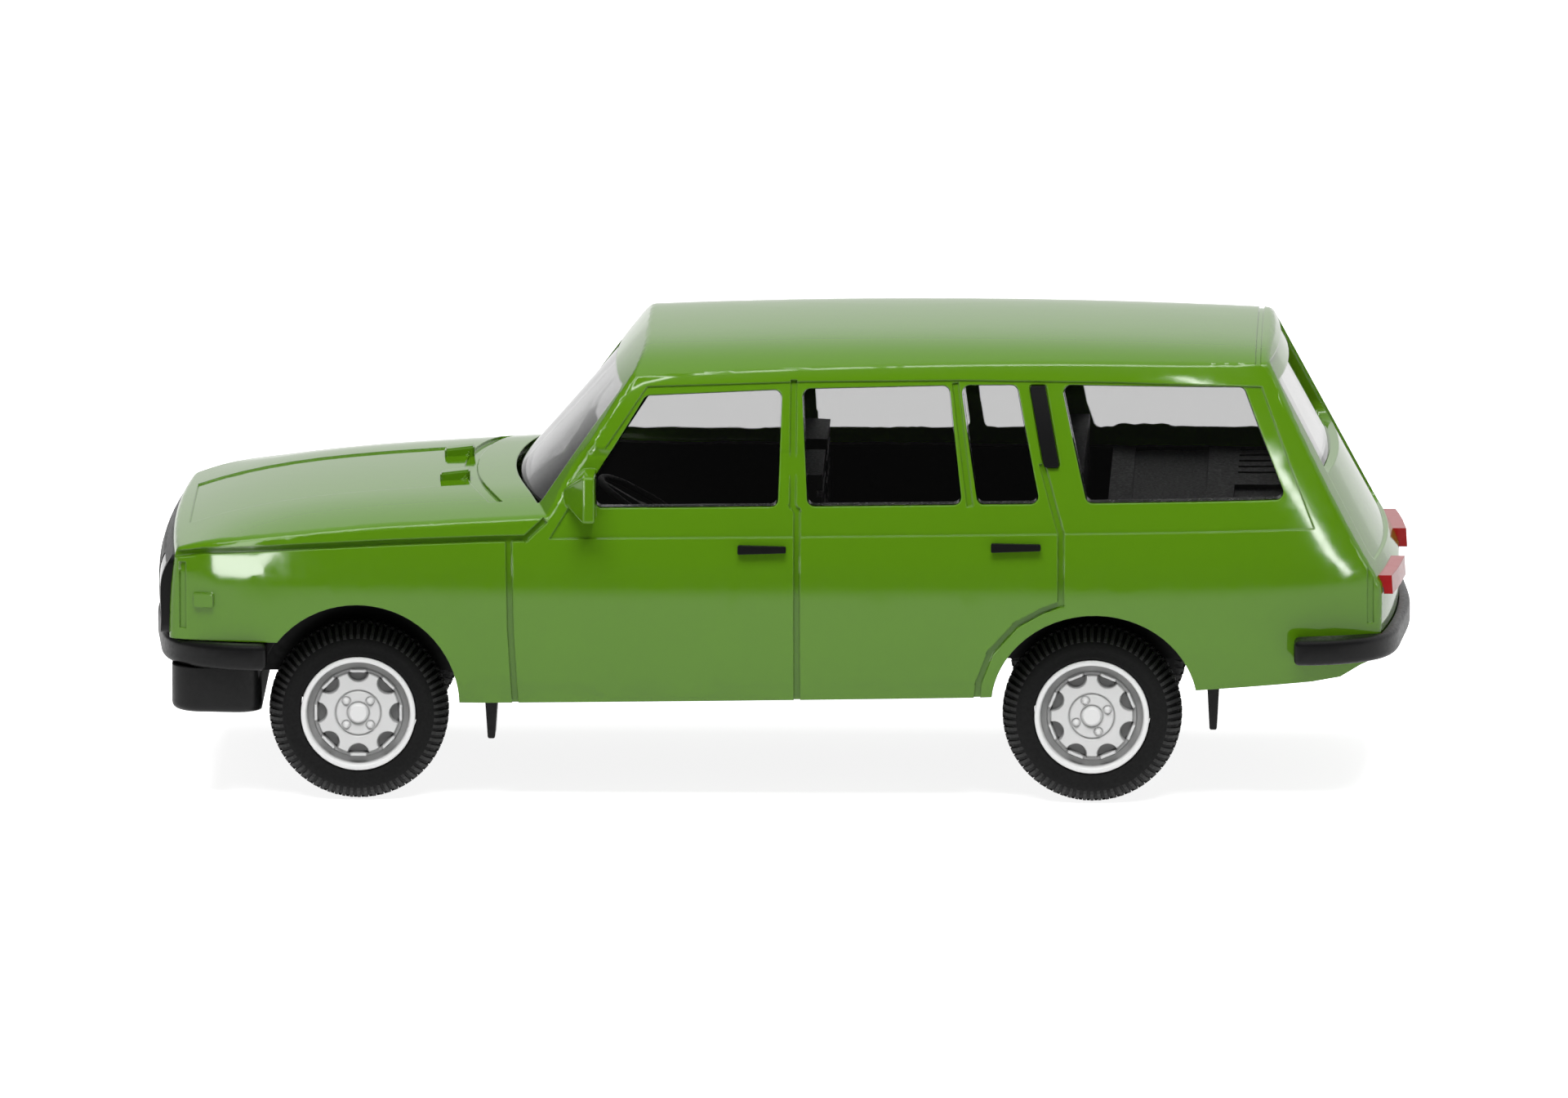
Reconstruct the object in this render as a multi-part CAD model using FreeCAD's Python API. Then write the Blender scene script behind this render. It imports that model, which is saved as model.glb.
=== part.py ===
import FreeCAD, Part
import math
import os

from FreeCAD import Vector

# Collector's model of a five-door station wagon, moulded in plastic.
# Millimetres. X points forwards, Y to the car's left and Z up. While it is built, X is zero
# midway between the axles. Each piece is then moved so that the origin lies under the middle
# of the overall length, on the floor.

os.makedirs("parts", exist_ok=True)

# Driving dimensions of the whole car
wheelbase = 28.16
front_overhang = 8.0
rear_overhang = 12.12
tyre_radius = 3.45
waist_half_width = 9.35
waist_height = 9.1
roof_height = 17.68
roof_half_width = 7.3
belt_height = 11.67
belt_rise = 0.0112
window_head_height = 16.15
bonnet_height = 11.72

# Walls and fits
body_wall = 0.6
glass_wall = 0.42
glazing_top = 16.45
side_pane_inset = 0.2
screen_pane_inset = 0.1
rear_pane_inset = 0.4
tub_wall = 0.55
fit_gap = 0.04
groove_width = 0.24
groove_depth = 0.17
trim_height = 0.22

# Places along the car that follow from the driving dimensions
front_axle_x = wheelbase / 2
rear_axle_x = -wheelbase / 2
nose_x = front_axle_x + front_overhang
tail_x = rear_axle_x - rear_overhang
origin_x = (nose_x + tail_x) / 2

# Body form
front_face_setback = 0.45
nose_bow = 0.0048
tail_face_setback = 1.3
tail_rake = 0.545
tail_knee_height = 9.05
tail_bow = 0.0106
tail_knee_step = 0.3
screen_base_x = 8.5
screen_base_height = 11.5
screen_rake = 0.909
screen_bow = 0.0229
screen_half_base = 7.7
screen_half_head = 6.75
screen_bottom = 11.26
screen_top = 16.0
rear_window_bottom = 12.55
rear_window_top = 16.1
rear_window_half_base = 6.2
rear_window_half_head = 5.6
edge_radius = 0.42
window_radius = 0.3
crease_drop = 1.12
side_recess = 0.07
gutter_height = 16.32
gutter_fall = 0.0019
tailgate_recess = 0.12
tailgate_half_width = 6.75
tailgate_bottom = 9.3
tailgate_top = 16.9
tailgate_taper = 0.9
bonnet_edge_fall = 0.36
bonnet_edge_width = 4.7
bonnet_edge_fade_start = 7.0
bonnet_edge_fade_run = 5.0
bonnet_panel_half_width = 4.25
bonnet_panel_front_x = 20.7
bonnet_panel_rear_x = 10.1
bonnet_panel_rise = 0.07
cowl_groove_x = 9.75
cowl_groove_width = 0.5
cowl_groove_reach = 7.2
cowl_groove_depth = 0.12
nozzle_y = 2.6
nozzle_front_x = 11.15
nozzle_rear_x = 9.9
nozzle_width = 0.75
nozzle_height = 0.6
nozzle_top = 11.98
side_lamp_rear_x = 19.62
side_lamp_front_x = 20.38
side_lamp_bottom = 7.65
side_lamp_top = 8.2
side_lamp_stand_out = 0.13
corner_groove_depth = 0.07
roof_groove_x = -20.5
roof_groove_width = 0.2

# Wheels, axles and arches
tyre_width = 1.9
tyre_face_y = 8.2
rim_radius = 2.2
rim_lip = 0.2
rim_dish = 0.35
hub_radius = 0.8
axle_radius = 0.5
axle_play = 0.03
front_arch_radius = 3.9
rear_arch_radius = 3.95
rear_arch_height = 3.6
arch_centre_height = 3.95
well_wall = 0.3
well_side_y = 5.45

# Floor pan
pan_bottom = 4.35
pan_thickness = 0.8
front_pan_bottom = 4.7
rear_pan_bottom = 5.28
clip_width = 2.2
clip_length = 1.2
clip_bottom = 2.75
clip_mouth = 0.8
clip_y = 4.5
flap_width = 1.7
flap_y = 6.9
flap_thickness = 0.55
front_flap_behind = 5.1
front_flap_tip = 2.43
rear_flap_behind = 4.65
rear_flap_tip = 2.9
pad_length = 12.0
pad_width = 7.0
pad_drop = 0.3

# Glazing and inner fittings
tub_top = 11.05
deck_front_x = -14.6
deck_depth = 0.9
front_seat_x = -3.7
rear_seat_x = -13.7
seat_back_thickness = 1.3
seat_back_top = 12.45
seat_half_width = 2.6
seat_spacing = 7.4
front_cushion_length = 5.6
rear_cushion_length = 5.2
cushion_height = 2.3
bench_half_width = 6.6
bench_cushion_half_width = 5.0
bench_lift = 0.2
dash_x = 5.3
dash_top = 11.25
dash_thickness = 1.0
dash_half_width = 6.3
steering_wheel_radius = 2.1
steering_wheel_grip = 0.13
steering_hub_radius = 0.45
steering_hub_depth = 0.3
steering_spoke_width = 0.3
steering_spoke_depth = 0.16
steering_wheel_lean = 30.0
steering_wheel_front_x = 4.86
steering_wheel_height = 11.75
steering_wheel_y = 3.7
column_length = 4.0
column_radius = 0.18
pleat_pitch = 0.85
pleat_width = 0.25
pleat_depth = 0.2
pleat_count = 4
deck_relief = 0.15
deck_panel_rear_x = -18.35
deck_panel_front_x = -15.5
deck_panel_half_width = 7.3
deck_tray_rear_x = -21.5
deck_tray_front_x = -19.4
deck_tray_right_y = 0.3
deck_tray_left_y = 3.9
deck_slots = 5
deck_slot_pitch = 1.15
deck_slot_width = 0.35
deck_first_slot_y = -6.9

# Bumpers and front apron
bumper_half_width = 9.35
front_bumper_bottom = 5.3
front_bumper_height = 1.0
front_bumper_end_x = 17.57
rear_bumper_bottom = 5.68
rear_bumper_height = 0.97
rear_bumper_end_x = -21.84
bumper_edge_radius = 0.22
apron_bottom = 3.5
apron_inset = 0.75
apron_end_x = 17.9

# Door mirrors
mirror_rear_x = 4.93
mirror_front_x = 5.37
mirror_root_x = 6.15
mirror_inner_y = 8.2
mirror_root_y = 8.75
mirror_reach = 10.3
mirror_bottom = 11.27
mirror_root_bottom = 11.77
mirror_root_top = 12.3
mirror_top = 13.05
mirror_edge_radius = 0.1

# Front panel and lamps
wing_bottom = 6.34
grille_half_width = 7.7
grille_bottom = 6.45
grille_top = 9.5
grille_inset = 0.5
grille_setback = 0.11
lamp_inner_y = 4.9
lamp_outer_y = 7.4
lamp_bottom = 6.95
lamp_top = 9.15
slat_pitch = 0.42
slat_slot = 0.2
slat_depth = 0.25
tail_lamp_inner_y = 3.6
tail_lamp_outer_y = 7.2
tail_lamp_bottom = 8.3
tail_lamp_top = 9.1
tail_lamp_depth = 0.55
tail_lamp_stand_out = 0.12

# Reach of the cutting shapes beyond the car
beyond = 30.0


def steps(low, high, count):
    return [low + (high - low) * i / (count - 1) for i in range(count)]


def box(x0, x1, y0, y1, z0, z1):
    return Part.makeBox(x1 - x0, y1 - y0, z1 - z0, Vector(x0, y0, z0))


def mirrored(shape):
    return shape.mirror(Vector(0, 0, 0), Vector(0, 1, 0))


def both_sides(shape):
    return [shape, mirrored(shape)]


def rounded_outline(points, radius):
    """A closed outline of straight runs joined by arcs, from its corners as vectors."""
    edges = []
    starts = []
    ends = []
    count = len(points)
    for i, corner in enumerate(points):
        back = (points[i - 1] - corner).normalize()
        ahead = (points[(i + 1) % count] - corner).normalize()
        half = back.getAngle(ahead) / 2
        run = radius / math.tan(half)
        first = corner + back * run
        last = corner + ahead * run
        middle = (back + ahead).normalize()
        centre = corner + middle * (radius / math.sin(half))
        edges.append(Part.Arc(first, centre - middle * radius, last).toShape())
        starts.append(first)
        ends.append(last)
    for i in range(count):
        edges.append(Part.makeLine(ends[i], starts[(i + 1) % count]))
    return Part.Wire(Part.__sortEdges__(edges))


def side_prism(points, radius, y0=6.0, y1=12.0, gap=0.0):
    """An outline seen from the side, as X and Z pairs, carried across the car's left side."""
    face = Part.Face(rounded_outline([Vector(x, y0, z) for x, z in points], radius))
    if gap:
        face = face.makeOffset2D(-gap)
    return face.extrude(Vector(0, y1 - y0, 0))


def end_prism(points, radius, x0, x1, gap=0.0):
    """An outline seen from the front, as Y and Z pairs, carried along the car."""
    face = Part.Face(rounded_outline([Vector(x0, y, z) for y, z in points], radius))
    if gap:
        face = face.makeOffset2D(-gap)
    return face.extrude(Vector(x1 - x0, 0, 0))


def plan_prism(points, z0, z1):
    """An outline seen from above, as X and Y pairs, carried upwards."""
    corners = [Vector(x, y, z0) for x, y in points]
    return Part.Face(Part.makePolygon(corners + corners[:1])).extrude(Vector(0, 0, z1 - z0))


# The outer skin is a set of formulas: half width over X and Z, height over X and Y, or X over
# Y and Z. An inset moves a skin inwards.


def side_y(x, z):
    below = max(0.0, waist_height - z)
    above = max(0.0, z - waist_height)
    section = 0.0211 * below ** 2 + 0.09 * above ** 2 / (above + 0.5) + 0.032 * above ** 2
    plan = 0.0012 * (x - 1.0) ** 2
    nose = 0.05 * max(0.0, x - nose_x + 4.6) ** 2
    tail = 0.9 * (max(0.0, tail_x + 9.2 - x) / 8.0) ** 2.5
    return waist_half_width - section - plan - nose - tail


def roof_z(x, y):
    across = abs(y) / roof_half_width
    return roof_height - 0.0019 * (x + 8.5) ** 2 - 0.3 * across ** 2 - 0.95 * across ** 6


def screen_x(y, z):
    bow = screen_bow - 0.00284 * (z - 11.4)
    return screen_base_x - screen_rake * (z - screen_base_height) - bow * y ** 2


def bonnet_z(x, y):
    """A gentle crown that falls a little to its side edges and curls down at the nose."""
    back = x - nose_x + 14.08
    crown = bonnet_height + 0.155 - 0.06 * back - 3.5e-5 * max(0.0, back) ** 4 - 0.0032 * y ** 2
    outward = max(0.0, abs(y) - bonnet_panel_half_width) / bonnet_edge_width
    fade = (x - nose_x + bonnet_edge_fade_start) / bonnet_edge_fade_run
    nearness = min(1.0, max(0.0, fade))
    return crown - bonnet_edge_fall * (1 - nearness ** 2) * outward ** 2.5


def front_x(y, z):
    return nose_x - front_face_setback - nose_bow * y ** 2 - 0.03 * (z - 6.9) ** 2


def grille_x(y, z):
    """The black front panel, full at the lamps and leaning back to the bonnet edge."""
    above = max(0.0, z - 8.2)
    below = max(0.0, 8.2 - z)
    return nose_x - grille_setback - nose_bow * y ** 2 - 0.277 * above ** 2 - 0.02 * below ** 2


def tail_edge(y):
    return tail_x + tail_face_setback - tail_bow * (7.4 ** 2 - y ** 2)


def tailgate_x(y, z):
    """The raked upper part of the tail."""
    return tail_edge(y) + tail_rake * (z - tail_knee_height)


def tail_panel_x(y, z):
    """The upright lower part of the tail."""
    return tail_edge(y) - tail_knee_step + 0.03 * (z - 7.8) ** 2


def window_head(x):
    return window_head_height - 0.0018 * (x + 12.0) ** 2


def belt(x):
    return belt_height - belt_rise * x


def crease(x):
    return belt(x) - crease_drop


def gutter(x):
    return gutter_height - gutter_fall * (x + 8.5) ** 2


def sheet(point, us, vs):
    surface = Part.BSplineSurface()
    surface.interpolate([[point(u, v) for v in vs] for u in us])
    return surface.toShape()


cross_ys = steps(-11, 11, 7)


def left_region(inset):
    """Everything to the car's right of its left side."""
    rear_xs = [tail_x + d for d in (-1.8, 0.2, 1.7, 3.2, 5.2, 8.2, 12.2, 17.2)]
    front_xs = [nose_x - d for d in (25, 19, 13, 8, 4.5, 2.5, 0.5, -1.5)]
    zs = [2, 4.5, 7, 8.5, 9.8, 11.2, 13, 15, 17, 19]
    skin = sheet(lambda x, z: Vector(x, side_y(x, z) - inset, z), rear_xs + front_xs, zs)
    return skin.extrude(Vector(0, -beyond, 0))


def roof_region(inset):
    """Everything below the roof."""
    xs = steps(tail_x - 3, nose_x + 3, 7)
    skin = sheet(lambda x, y: Vector(x, y, roof_z(x, y) - inset), xs, steps(-10, 10, 13))
    return skin.extrude(Vector(0, 0, -beyond))


def screen_sheet(inset):
    slant = inset * math.hypot(1, screen_rake)
    return sheet(lambda y, z: Vector(screen_x(y, z) - slant, y, z), cross_ys, steps(8, 20, 4))


def bonnet_sheet(inset):
    xs = [2, 5, 8, 10, 12, 14, 16, 18, 19.5, 21, 22.5, 24]
    inner = [0, 2, 4, 6.3, 7.5, 8.5, 9.5, 10.5]
    ys = [-y for y in reversed(inner[1:])] + inner
    return sheet(lambda x, y: Vector(x, y, bonnet_z(x, y) - inset), xs, ys)


def front_sheet(inset):
    return sheet(lambda y, z: Vector(front_x(y, z) - inset, y, z), cross_ys, steps(0, 20, 5))


def grille_sheet(inset):
    zs = [5, 6, 7, 8, 8.6, 9.2, 9.8, 10.4]
    return sheet(lambda y, z: Vector(grille_x(y, z) - inset, y, z), cross_ys, zs)


def tailgate_sheet(inset):
    slant = inset * math.hypot(1, tail_rake)
    return sheet(lambda y, z: Vector(tailgate_x(y, z) + slant, y, z), cross_ys, steps(1, 20, 4))


def tail_panel_sheet(inset):
    return sheet(lambda y, z: Vector(tail_panel_x(y, z) + inset, y, z), cross_ys, steps(1, 14, 5))


def behind_front(inset):
    return front_sheet(inset).extrude(Vector(-2 * beyond, 0, 0))


def behind_grille(inset):
    return grille_sheet(inset).extrude(Vector(-2 * beyond, 0, 0))


def behind_screen(inset):
    return screen_sheet(inset).extrude(Vector(-beyond, 0, 0))


def ahead_of_tailgate(inset):
    return tailgate_sheet(inset).extrude(Vector(2 * beyond, 0, 0))


def above_bonnet(inset):
    return bonnet_sheet(inset).extrude(Vector(0, 0, beyond))


def ahead_of_tail_panel(inset):
    return tail_panel_sheet(inset).extrude(Vector(2 * beyond, 0, 0))


def block(inset, bottom):
    """The solid within the outer skin, moved inwards by the inset, down to the given height."""
    left = left_region(inset)
    solid = left.common(mirrored(left)).common(roof_region(inset))
    solid = solid.common(behind_front(inset))
    solid = solid.common(ahead_of_tailgate(inset))
    behind = tail_panel_sheet(inset).extrude(Vector(-beyond, 0, 0))
    ahead = screen_sheet(inset).extrude(Vector(beyond, 0, 0))
    solid = solid.cut(behind).cut(ahead.common(above_bonnet(inset)))
    return solid.common(box(-beyond, beyond, -beyond, beyond, bottom, beyond)).Solids[0]


def window_outlines():
    """The side windows from front to rear, as X and Z pairs."""
    door = [(4.98, belt(4.98)), (4.93, 12.85), (3.05, window_head(3.05)),
            (-2.18, window_head(-2.18)), (-2.05, belt(-2.05))]
    rear_door = [(-3.18, belt(-3.18)), (-2.94, window_head(-2.94)), (-8.59, window_head(-8.59)),
                 (-9.11, belt(-9.11))]
    quarter = [(-9.7, belt(-9.7)), (-9.02, window_head(-9.02)), (-11.19, window_head(-11.19)),
               (-12.09, belt(-12.09))]
    cargo = [(-13.88, belt(-13.88)), (-12.87, window_head(-12.87)), (-19.88, window_head(-19.88)),
             (-21.55, belt(-21.55))]
    return [door, rear_door, quarter, cargo]


vent_outline = [(-12.2, 13.15), (-11.62, window_head(-11.62)), (-12.29, window_head(-12.29)),
                (-12.87, 13.15)]

door_seams = [
    [(8.0, 3.5), (8.2, 7.0), (8.26, 10.3)],
    [(-2.78, 3.5), (-2.78, 11.55), (-2.62, 11.75), (-2.62, 16.2)],
    [(-9.4, 11.85), (-8.82, 16.1)],
    [(-12.2, 13.2), (-12.6, 11.75), (-12.9, 10.7), (-12.9, 8.0), (-12.2, 7.75), (-11.2, 7.2),
     (-10.2, 6.1), (-9.75, 4.9), (-9.6, 3.5)],
]


# The bonnet's side seam runs back from the nose and climbs to the foot of the front pillar.
bonnet_seam = [(21.3, 9.6), (20.6, 9.72), (20.0, 9.83), (16.3, 10.08), (12.6, 10.29), (9.05, 10.45),
               (7.62, 10.49), (6.95, 11.1)]
corner_seams = [[(20.8, 6.9), (20.8, 9.25)], [(tail_x + 1.45, 7.2), (tail_x + 1.45, 9.1)]]


def seam_cutters(lines, core):
    """Square grooves along lines on the left side, down to a core of the body."""
    cutters = []
    for line in lines:
        points = [Vector(x, 6, z) for x, z in line]
        for start, end in zip(points, points[1:]):
            along = (end - start).normalize()
            across = along.cross(Vector(0, 1, 0)) * (groove_width / 2)
            over = along * (groove_width / 2)
            corners = [start - over + across, end + over + across, end + over - across,
                       start - over - across]
            face = Part.Face(Part.makePolygon(corners + corners[:1]))
            cutters.append(face.extrude(Vector(0, 6, 0)).cut(core))
    return cutters


def side_panel():
    """The side above the crease, from pillar to pillar and up to the rain gutter."""
    pillars = [(-22.6, crease(-22.6)), (6.7, crease(6.7)), (6.25, 11.2), (4.93, 13.36)]
    points = pillars + [(x, gutter(x)) for x in (3.0, -3.0, -9.0, -15.0, -20.55)]
    corners = [Vector(x, 6, z) for x, z in points]
    return Part.Face(Part.makePolygon(corners + corners[:1])).extrude(Vector(0, 6, 0))


def arch_prisms():
    """The wheel arches of the left side, cut through its wall."""
    front = Part.makeCylinder(front_arch_radius, 6, Vector(front_axle_x, 6, arch_centre_height),
                              Vector(0, 1, 0))
    ellipse = Part.Ellipse(Vector(0, 0, 0), rear_arch_radius, rear_arch_height)
    rear = Part.Face(Part.Wire(ellipse.toShape())).extrude(Vector(0, 0, -6))
    rear.rotate(Vector(0, 0, 0), Vector(1, 0, 0), 90)
    rear.translate(Vector(rear_axle_x - 0.1, 6, arch_centre_height))
    return [front, rear]


def underside():
    """What lies below the sills, the front wings and the tail."""
    points = [(nose_x + 3, -3), (nose_x + 3, wing_bottom), (front_axle_x + 2.9, wing_bottom),
              (front_axle_x + 2.0, 3.97), (9.3, 3.97), (-9.5, 4.27), (rear_axle_x - 3.8, 4.55),
              (tail_x + 3.7, 4.84), (tail_x + 2.6, 5.0), (tail_x + 1.8, 5.46), (tail_x - 1, 6.6),
              (tail_x - 2, -3)]
    face = Part.Face(Part.makePolygon([Vector(x, -15, z) for x, z in points + points[:1]]))
    return face.extrude(Vector(0, 30, 0))


def round_edges(solid):
    """Rounds the long edges where two skins meet."""
    picked = []
    for edge in solid.Edges:
        middle = edge.valueAt((edge.FirstParameter + edge.LastParameter) / 2)
        cowl = abs(middle.x - screen_base_x) < 2 and abs(middle.z - screen_base_height) < 0.6
        cowl = cowl and abs(middle.y) < 7
        if middle.z > 4 and not cowl:
            picked.append(edge)
    return solid.makeFillet(edge_radius, picked)


def screen_opening(gap=0.0):
    return end_prism([(-screen_half_base, screen_bottom), (screen_half_base, screen_bottom),
                      (screen_half_head, screen_top), (-screen_half_head, screen_top)], 0.5, 0, 14,
                     gap)


def rear_opening(gap=0.0):
    return end_prism([(-rear_window_half_base, rear_window_bottom),
                      (rear_window_half_base, rear_window_bottom),
                      (rear_window_half_head, rear_window_top),
                      (-rear_window_half_head, rear_window_top)], 0.7, tail_x - 2, tail_x + 12, gap)


def tailgate_cutter():
    """Lets the tailgate in a little between the rear pillars."""
    low = tailgate_half_width
    high = tailgate_half_width - tailgate_taper
    outline = end_prism([(-low, tailgate_bottom), (low, tailgate_bottom), (high, tailgate_top),
                         (-high, tailgate_top)], 0.5, tail_x - 2, tail_x + 12)
    return outline.cut(ahead_of_tailgate(tailgate_recess))


def cowl_cutter():
    """A shallow valley across the rear of the bonnet, bowed as the windscreen is."""
    reach = cowl_groove_reach
    bow = screen_bow * reach ** 2
    edges = []
    for x in (cowl_groove_x, cowl_groove_x + cowl_groove_width):
        edges.append(Part.Arc(Vector(x - bow, -reach, 10), Vector(x, 0, 10),
                              Vector(x - bow, reach, 10)).toShape())
    for y in (-reach, reach):
        edges.append(Part.makeLine(Vector(cowl_groove_x - bow, y, 10),
                                   Vector(cowl_groove_x + cowl_groove_width - bow, y, 10)))
    valley = Part.Face(Part.Wire(Part.__sortEdges__(edges))).extrude(Vector(0, 0, 4))
    return valley.common(above_bonnet(cowl_groove_depth))


def bonnet_panel():
    """The raised middle of the bonnet."""
    half = bonnet_panel_half_width
    plate = plan_prism([(bonnet_panel_rear_x, -half), (bonnet_panel_front_x, -half),
                        (bonnet_panel_front_x, half), (bonnet_panel_rear_x, half)], 9, 13)
    return plate.common(above_bonnet(body_wall / 2)).cut(above_bonnet(-bonnet_panel_rise))


def make_nozzles():
    """Two wedge-shaped washer nozzles ahead of the windscreen."""
    nozzles = []
    for y in (-nozzle_y, nozzle_y):
        low = nozzle_top - nozzle_height
        profile = [Vector(nozzle_rear_x, y - nozzle_width / 2, low),
                   Vector(nozzle_front_x, y - nozzle_width / 2, low),
                   Vector(nozzle_rear_x, y - nozzle_width / 2, nozzle_top)]
        wedge = Part.Face(Part.makePolygon(profile + profile[:1]))
        nozzles.append(wedge.extrude(Vector(0, nozzle_width, 0)))
    return nozzles


def make_side_lamps():
    points = [(side_lamp_rear_x, side_lamp_bottom), (side_lamp_front_x, side_lamp_bottom),
              (side_lamp_front_x, side_lamp_top), (side_lamp_rear_x, side_lamp_top)]
    lamp = side_prism(points, 0.08)
    return both_sides(lamp.common(left_region(-side_lamp_stand_out)).cut(left_region(groove_depth)))


def make_body(outer, inner, left_core):
    shell = outer.cut(inner).fuse([bonnet_panel()] + make_nozzles() + make_side_lamps())
    screen_slab = screen_sheet(-0.05).extrude(Vector(-1.6, 0, 0))
    rear_slab = tailgate_sheet(-0.3).extrude(Vector(1.6, 0, 0))
    roof_groove = box(roof_groove_x, roof_groove_x + roof_groove_width, -7.0, 7.0, 15, 19)
    cutters = [screen_opening().common(screen_slab), rear_opening().common(rear_slab), underside(),
               tailgate_cutter(), cowl_cutter(), roof_groove.cut(roof_region(corner_groove_depth))]
    for outline in window_outlines():
        cutters += both_sides(side_prism(outline, window_radius))
    for arch in arch_prisms():
        cutters += both_sides(arch)
    corner_core = left_region(corner_groove_depth)
    seams = seam_cutters(door_seams + [bonnet_seam], left_core)
    for seam in seams + seam_cutters(corner_seams, corner_core):
        cutters += both_sides(seam)
    vent = side_prism(vent_outline, 0.12).cut(left_core)
    cutters += both_sides(vent)
    cutters += both_sides(side_panel().cut(left_region(side_recess)))
    opening = fit_gap
    grille = end_prism([(-grille_half_width - opening, grille_bottom - opening),
                        (grille_half_width + opening, grille_bottom - opening),
                        (grille_half_width + opening, grille_top + opening),
                        (-grille_half_width - opening, grille_top + opening)], 0.4,
                       nose_x - 3.5, nose_x + 1)
    cutters.append(grille)
    return shell.cut(cutters)


def make_mirrors(inner):
    """Door mirrors: an upright plate with a fairing that runs forward to the pillar."""
    plan = plan_prism([(mirror_rear_x, mirror_inner_y), (mirror_root_x, mirror_inner_y),
                       (mirror_root_x, mirror_root_y), (mirror_front_x, mirror_reach),
                       (mirror_rear_x, mirror_reach)], 11, 14)
    side = [(mirror_rear_x, mirror_bottom), (mirror_front_x, mirror_bottom),
            (mirror_root_x, mirror_root_bottom), (mirror_root_x, mirror_root_top),
            (mirror_front_x, mirror_top), (mirror_rear_x, mirror_top)]
    corners = [Vector(x, 7, z) for x, z in side]
    profile = Part.Face(Part.makePolygon(corners + corners[:1])).extrude(Vector(0, 5, 0))
    mirror = plan.common(profile)
    outer_edges = [e for e in mirror.Edges if e.CenterOfMass.y > 8.5]
    mirror = mirror.makeFillet(mirror_edge_radius, outer_edges)
    return both_sides(mirror.cut(inner))


def make_glazing(outside, inside):
    """One clear moulding, open below and under the roof, with a raised pane in each window."""
    band = outside.cut(inside)
    band = band.common(box(-beyond, beyond, -beyond, beyond, tub_top + fit_gap, glazing_top))
    seat = body_wall + 2 * fit_gap
    left_pane = left_region(side_pane_inset).cut(left_region(seat))
    panes = []
    for outline in window_outlines():
        panes += both_sides(side_prism(outline, window_radius, gap=fit_gap).common(left_pane))
    screen = behind_screen(screen_pane_inset).cut(behind_screen(seat))
    rear = ahead_of_tailgate(rear_pane_inset).cut(ahead_of_tailgate(seat))
    panes += [screen_opening(fit_gap).common(screen), rear_opening(fit_gap).common(rear)]
    return band.fuse(panes)


def well_space(x, radius):
    """The room that a wheel well of the floor pan takes up on the left side."""
    return Part.makeCylinder(radius + well_wall + fit_gap, 8,
                             Vector(x, well_side_y - fit_gap, arch_centre_height), Vector(0, 1, 0))


def make_tub(outside, inside):
    """Door linings, load deck, seats and dash in one moulding."""
    bottom = rear_pan_bottom + pan_thickness + fit_gap
    floor = bottom + tub_wall
    tub = outside.common(box(tail_x + 2.2, dash_x + 2.6, -beyond, beyond, bottom, tub_top))
    cabin = inside.common(box(deck_front_x, dash_x, -beyond, beyond, floor, beyond))
    under_deck = inside.common(box(-beyond, deck_front_x - tub_wall, -beyond, beyond, 0,
                                   tub_top - deck_depth))
    tub = tub.cut([cabin, under_deck])
    seats = []
    cushion_top = floor + cushion_height
    bench_top = seat_back_top + bench_lift
    for y in (-seat_spacing / 2, seat_spacing / 2):
        back = box(front_seat_x, front_seat_x + seat_back_thickness, y - seat_half_width,
                   y + seat_half_width, floor, seat_back_top)
        cushion = box(front_seat_x, front_seat_x + front_cushion_length, y - seat_half_width,
                      y + seat_half_width, floor, cushion_top)
        seats += [back, cushion]
    seats.append(box(rear_seat_x, rear_seat_x + seat_back_thickness, -bench_half_width,
                     bench_half_width, floor, bench_top))
    seats.append(box(rear_seat_x, rear_seat_x + rear_cushion_length, -bench_cushion_half_width,
                     bench_cushion_half_width, floor, cushion_top))
    dash = box(dash_x, dash_x + dash_thickness, -dash_half_width, dash_half_width, floor + 2.0,
               dash_top)
    tub = tub.fuse(seats + [dash])
    cutters = both_sides(well_space(front_axle_x, front_arch_radius))
    cutters += both_sides(well_space(rear_axle_x, rear_arch_radius))
    for y in (-seat_spacing / 2, seat_spacing / 2):
        cutters += pleat_cutters(front_seat_x, y, seat_half_width, seat_back_top)
    cutters += pleat_cutters(rear_seat_x + seat_back_thickness, 0, bench_half_width - 0.2, bench_top)
    return tub.cut(cutters + deck_cutters())


def pleat_cutters(face_x, y, half_width, top):
    """Level channels between the rolls of a seat back."""
    cutters = []
    for i in range(1, pleat_count + 1):
        z = top - pleat_pitch * i
        cutters.append(box(face_x - pleat_depth, face_x + pleat_depth, y - half_width - 0.1,
                           y + half_width + 0.1, z, z + pleat_width))
    return cutters


def deck_cutters():
    """The load deck's let-in panel, its slots and the tray behind it."""
    low = tub_top - deck_relief
    cutters = [box(deck_panel_rear_x, deck_panel_front_x, -deck_panel_half_width,
                   deck_panel_half_width, low, beyond),
               box(deck_tray_rear_x, deck_tray_front_x, deck_tray_right_y, deck_tray_left_y, low,
                   beyond)]
    for i in range(deck_slots):
        y = deck_first_slot_y + deck_slot_pitch * i
        cutters.append(box(deck_tray_rear_x + 0.2, deck_tray_front_x - 0.1, y, y + deck_slot_width,
                           low, beyond))
    return cutters


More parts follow.
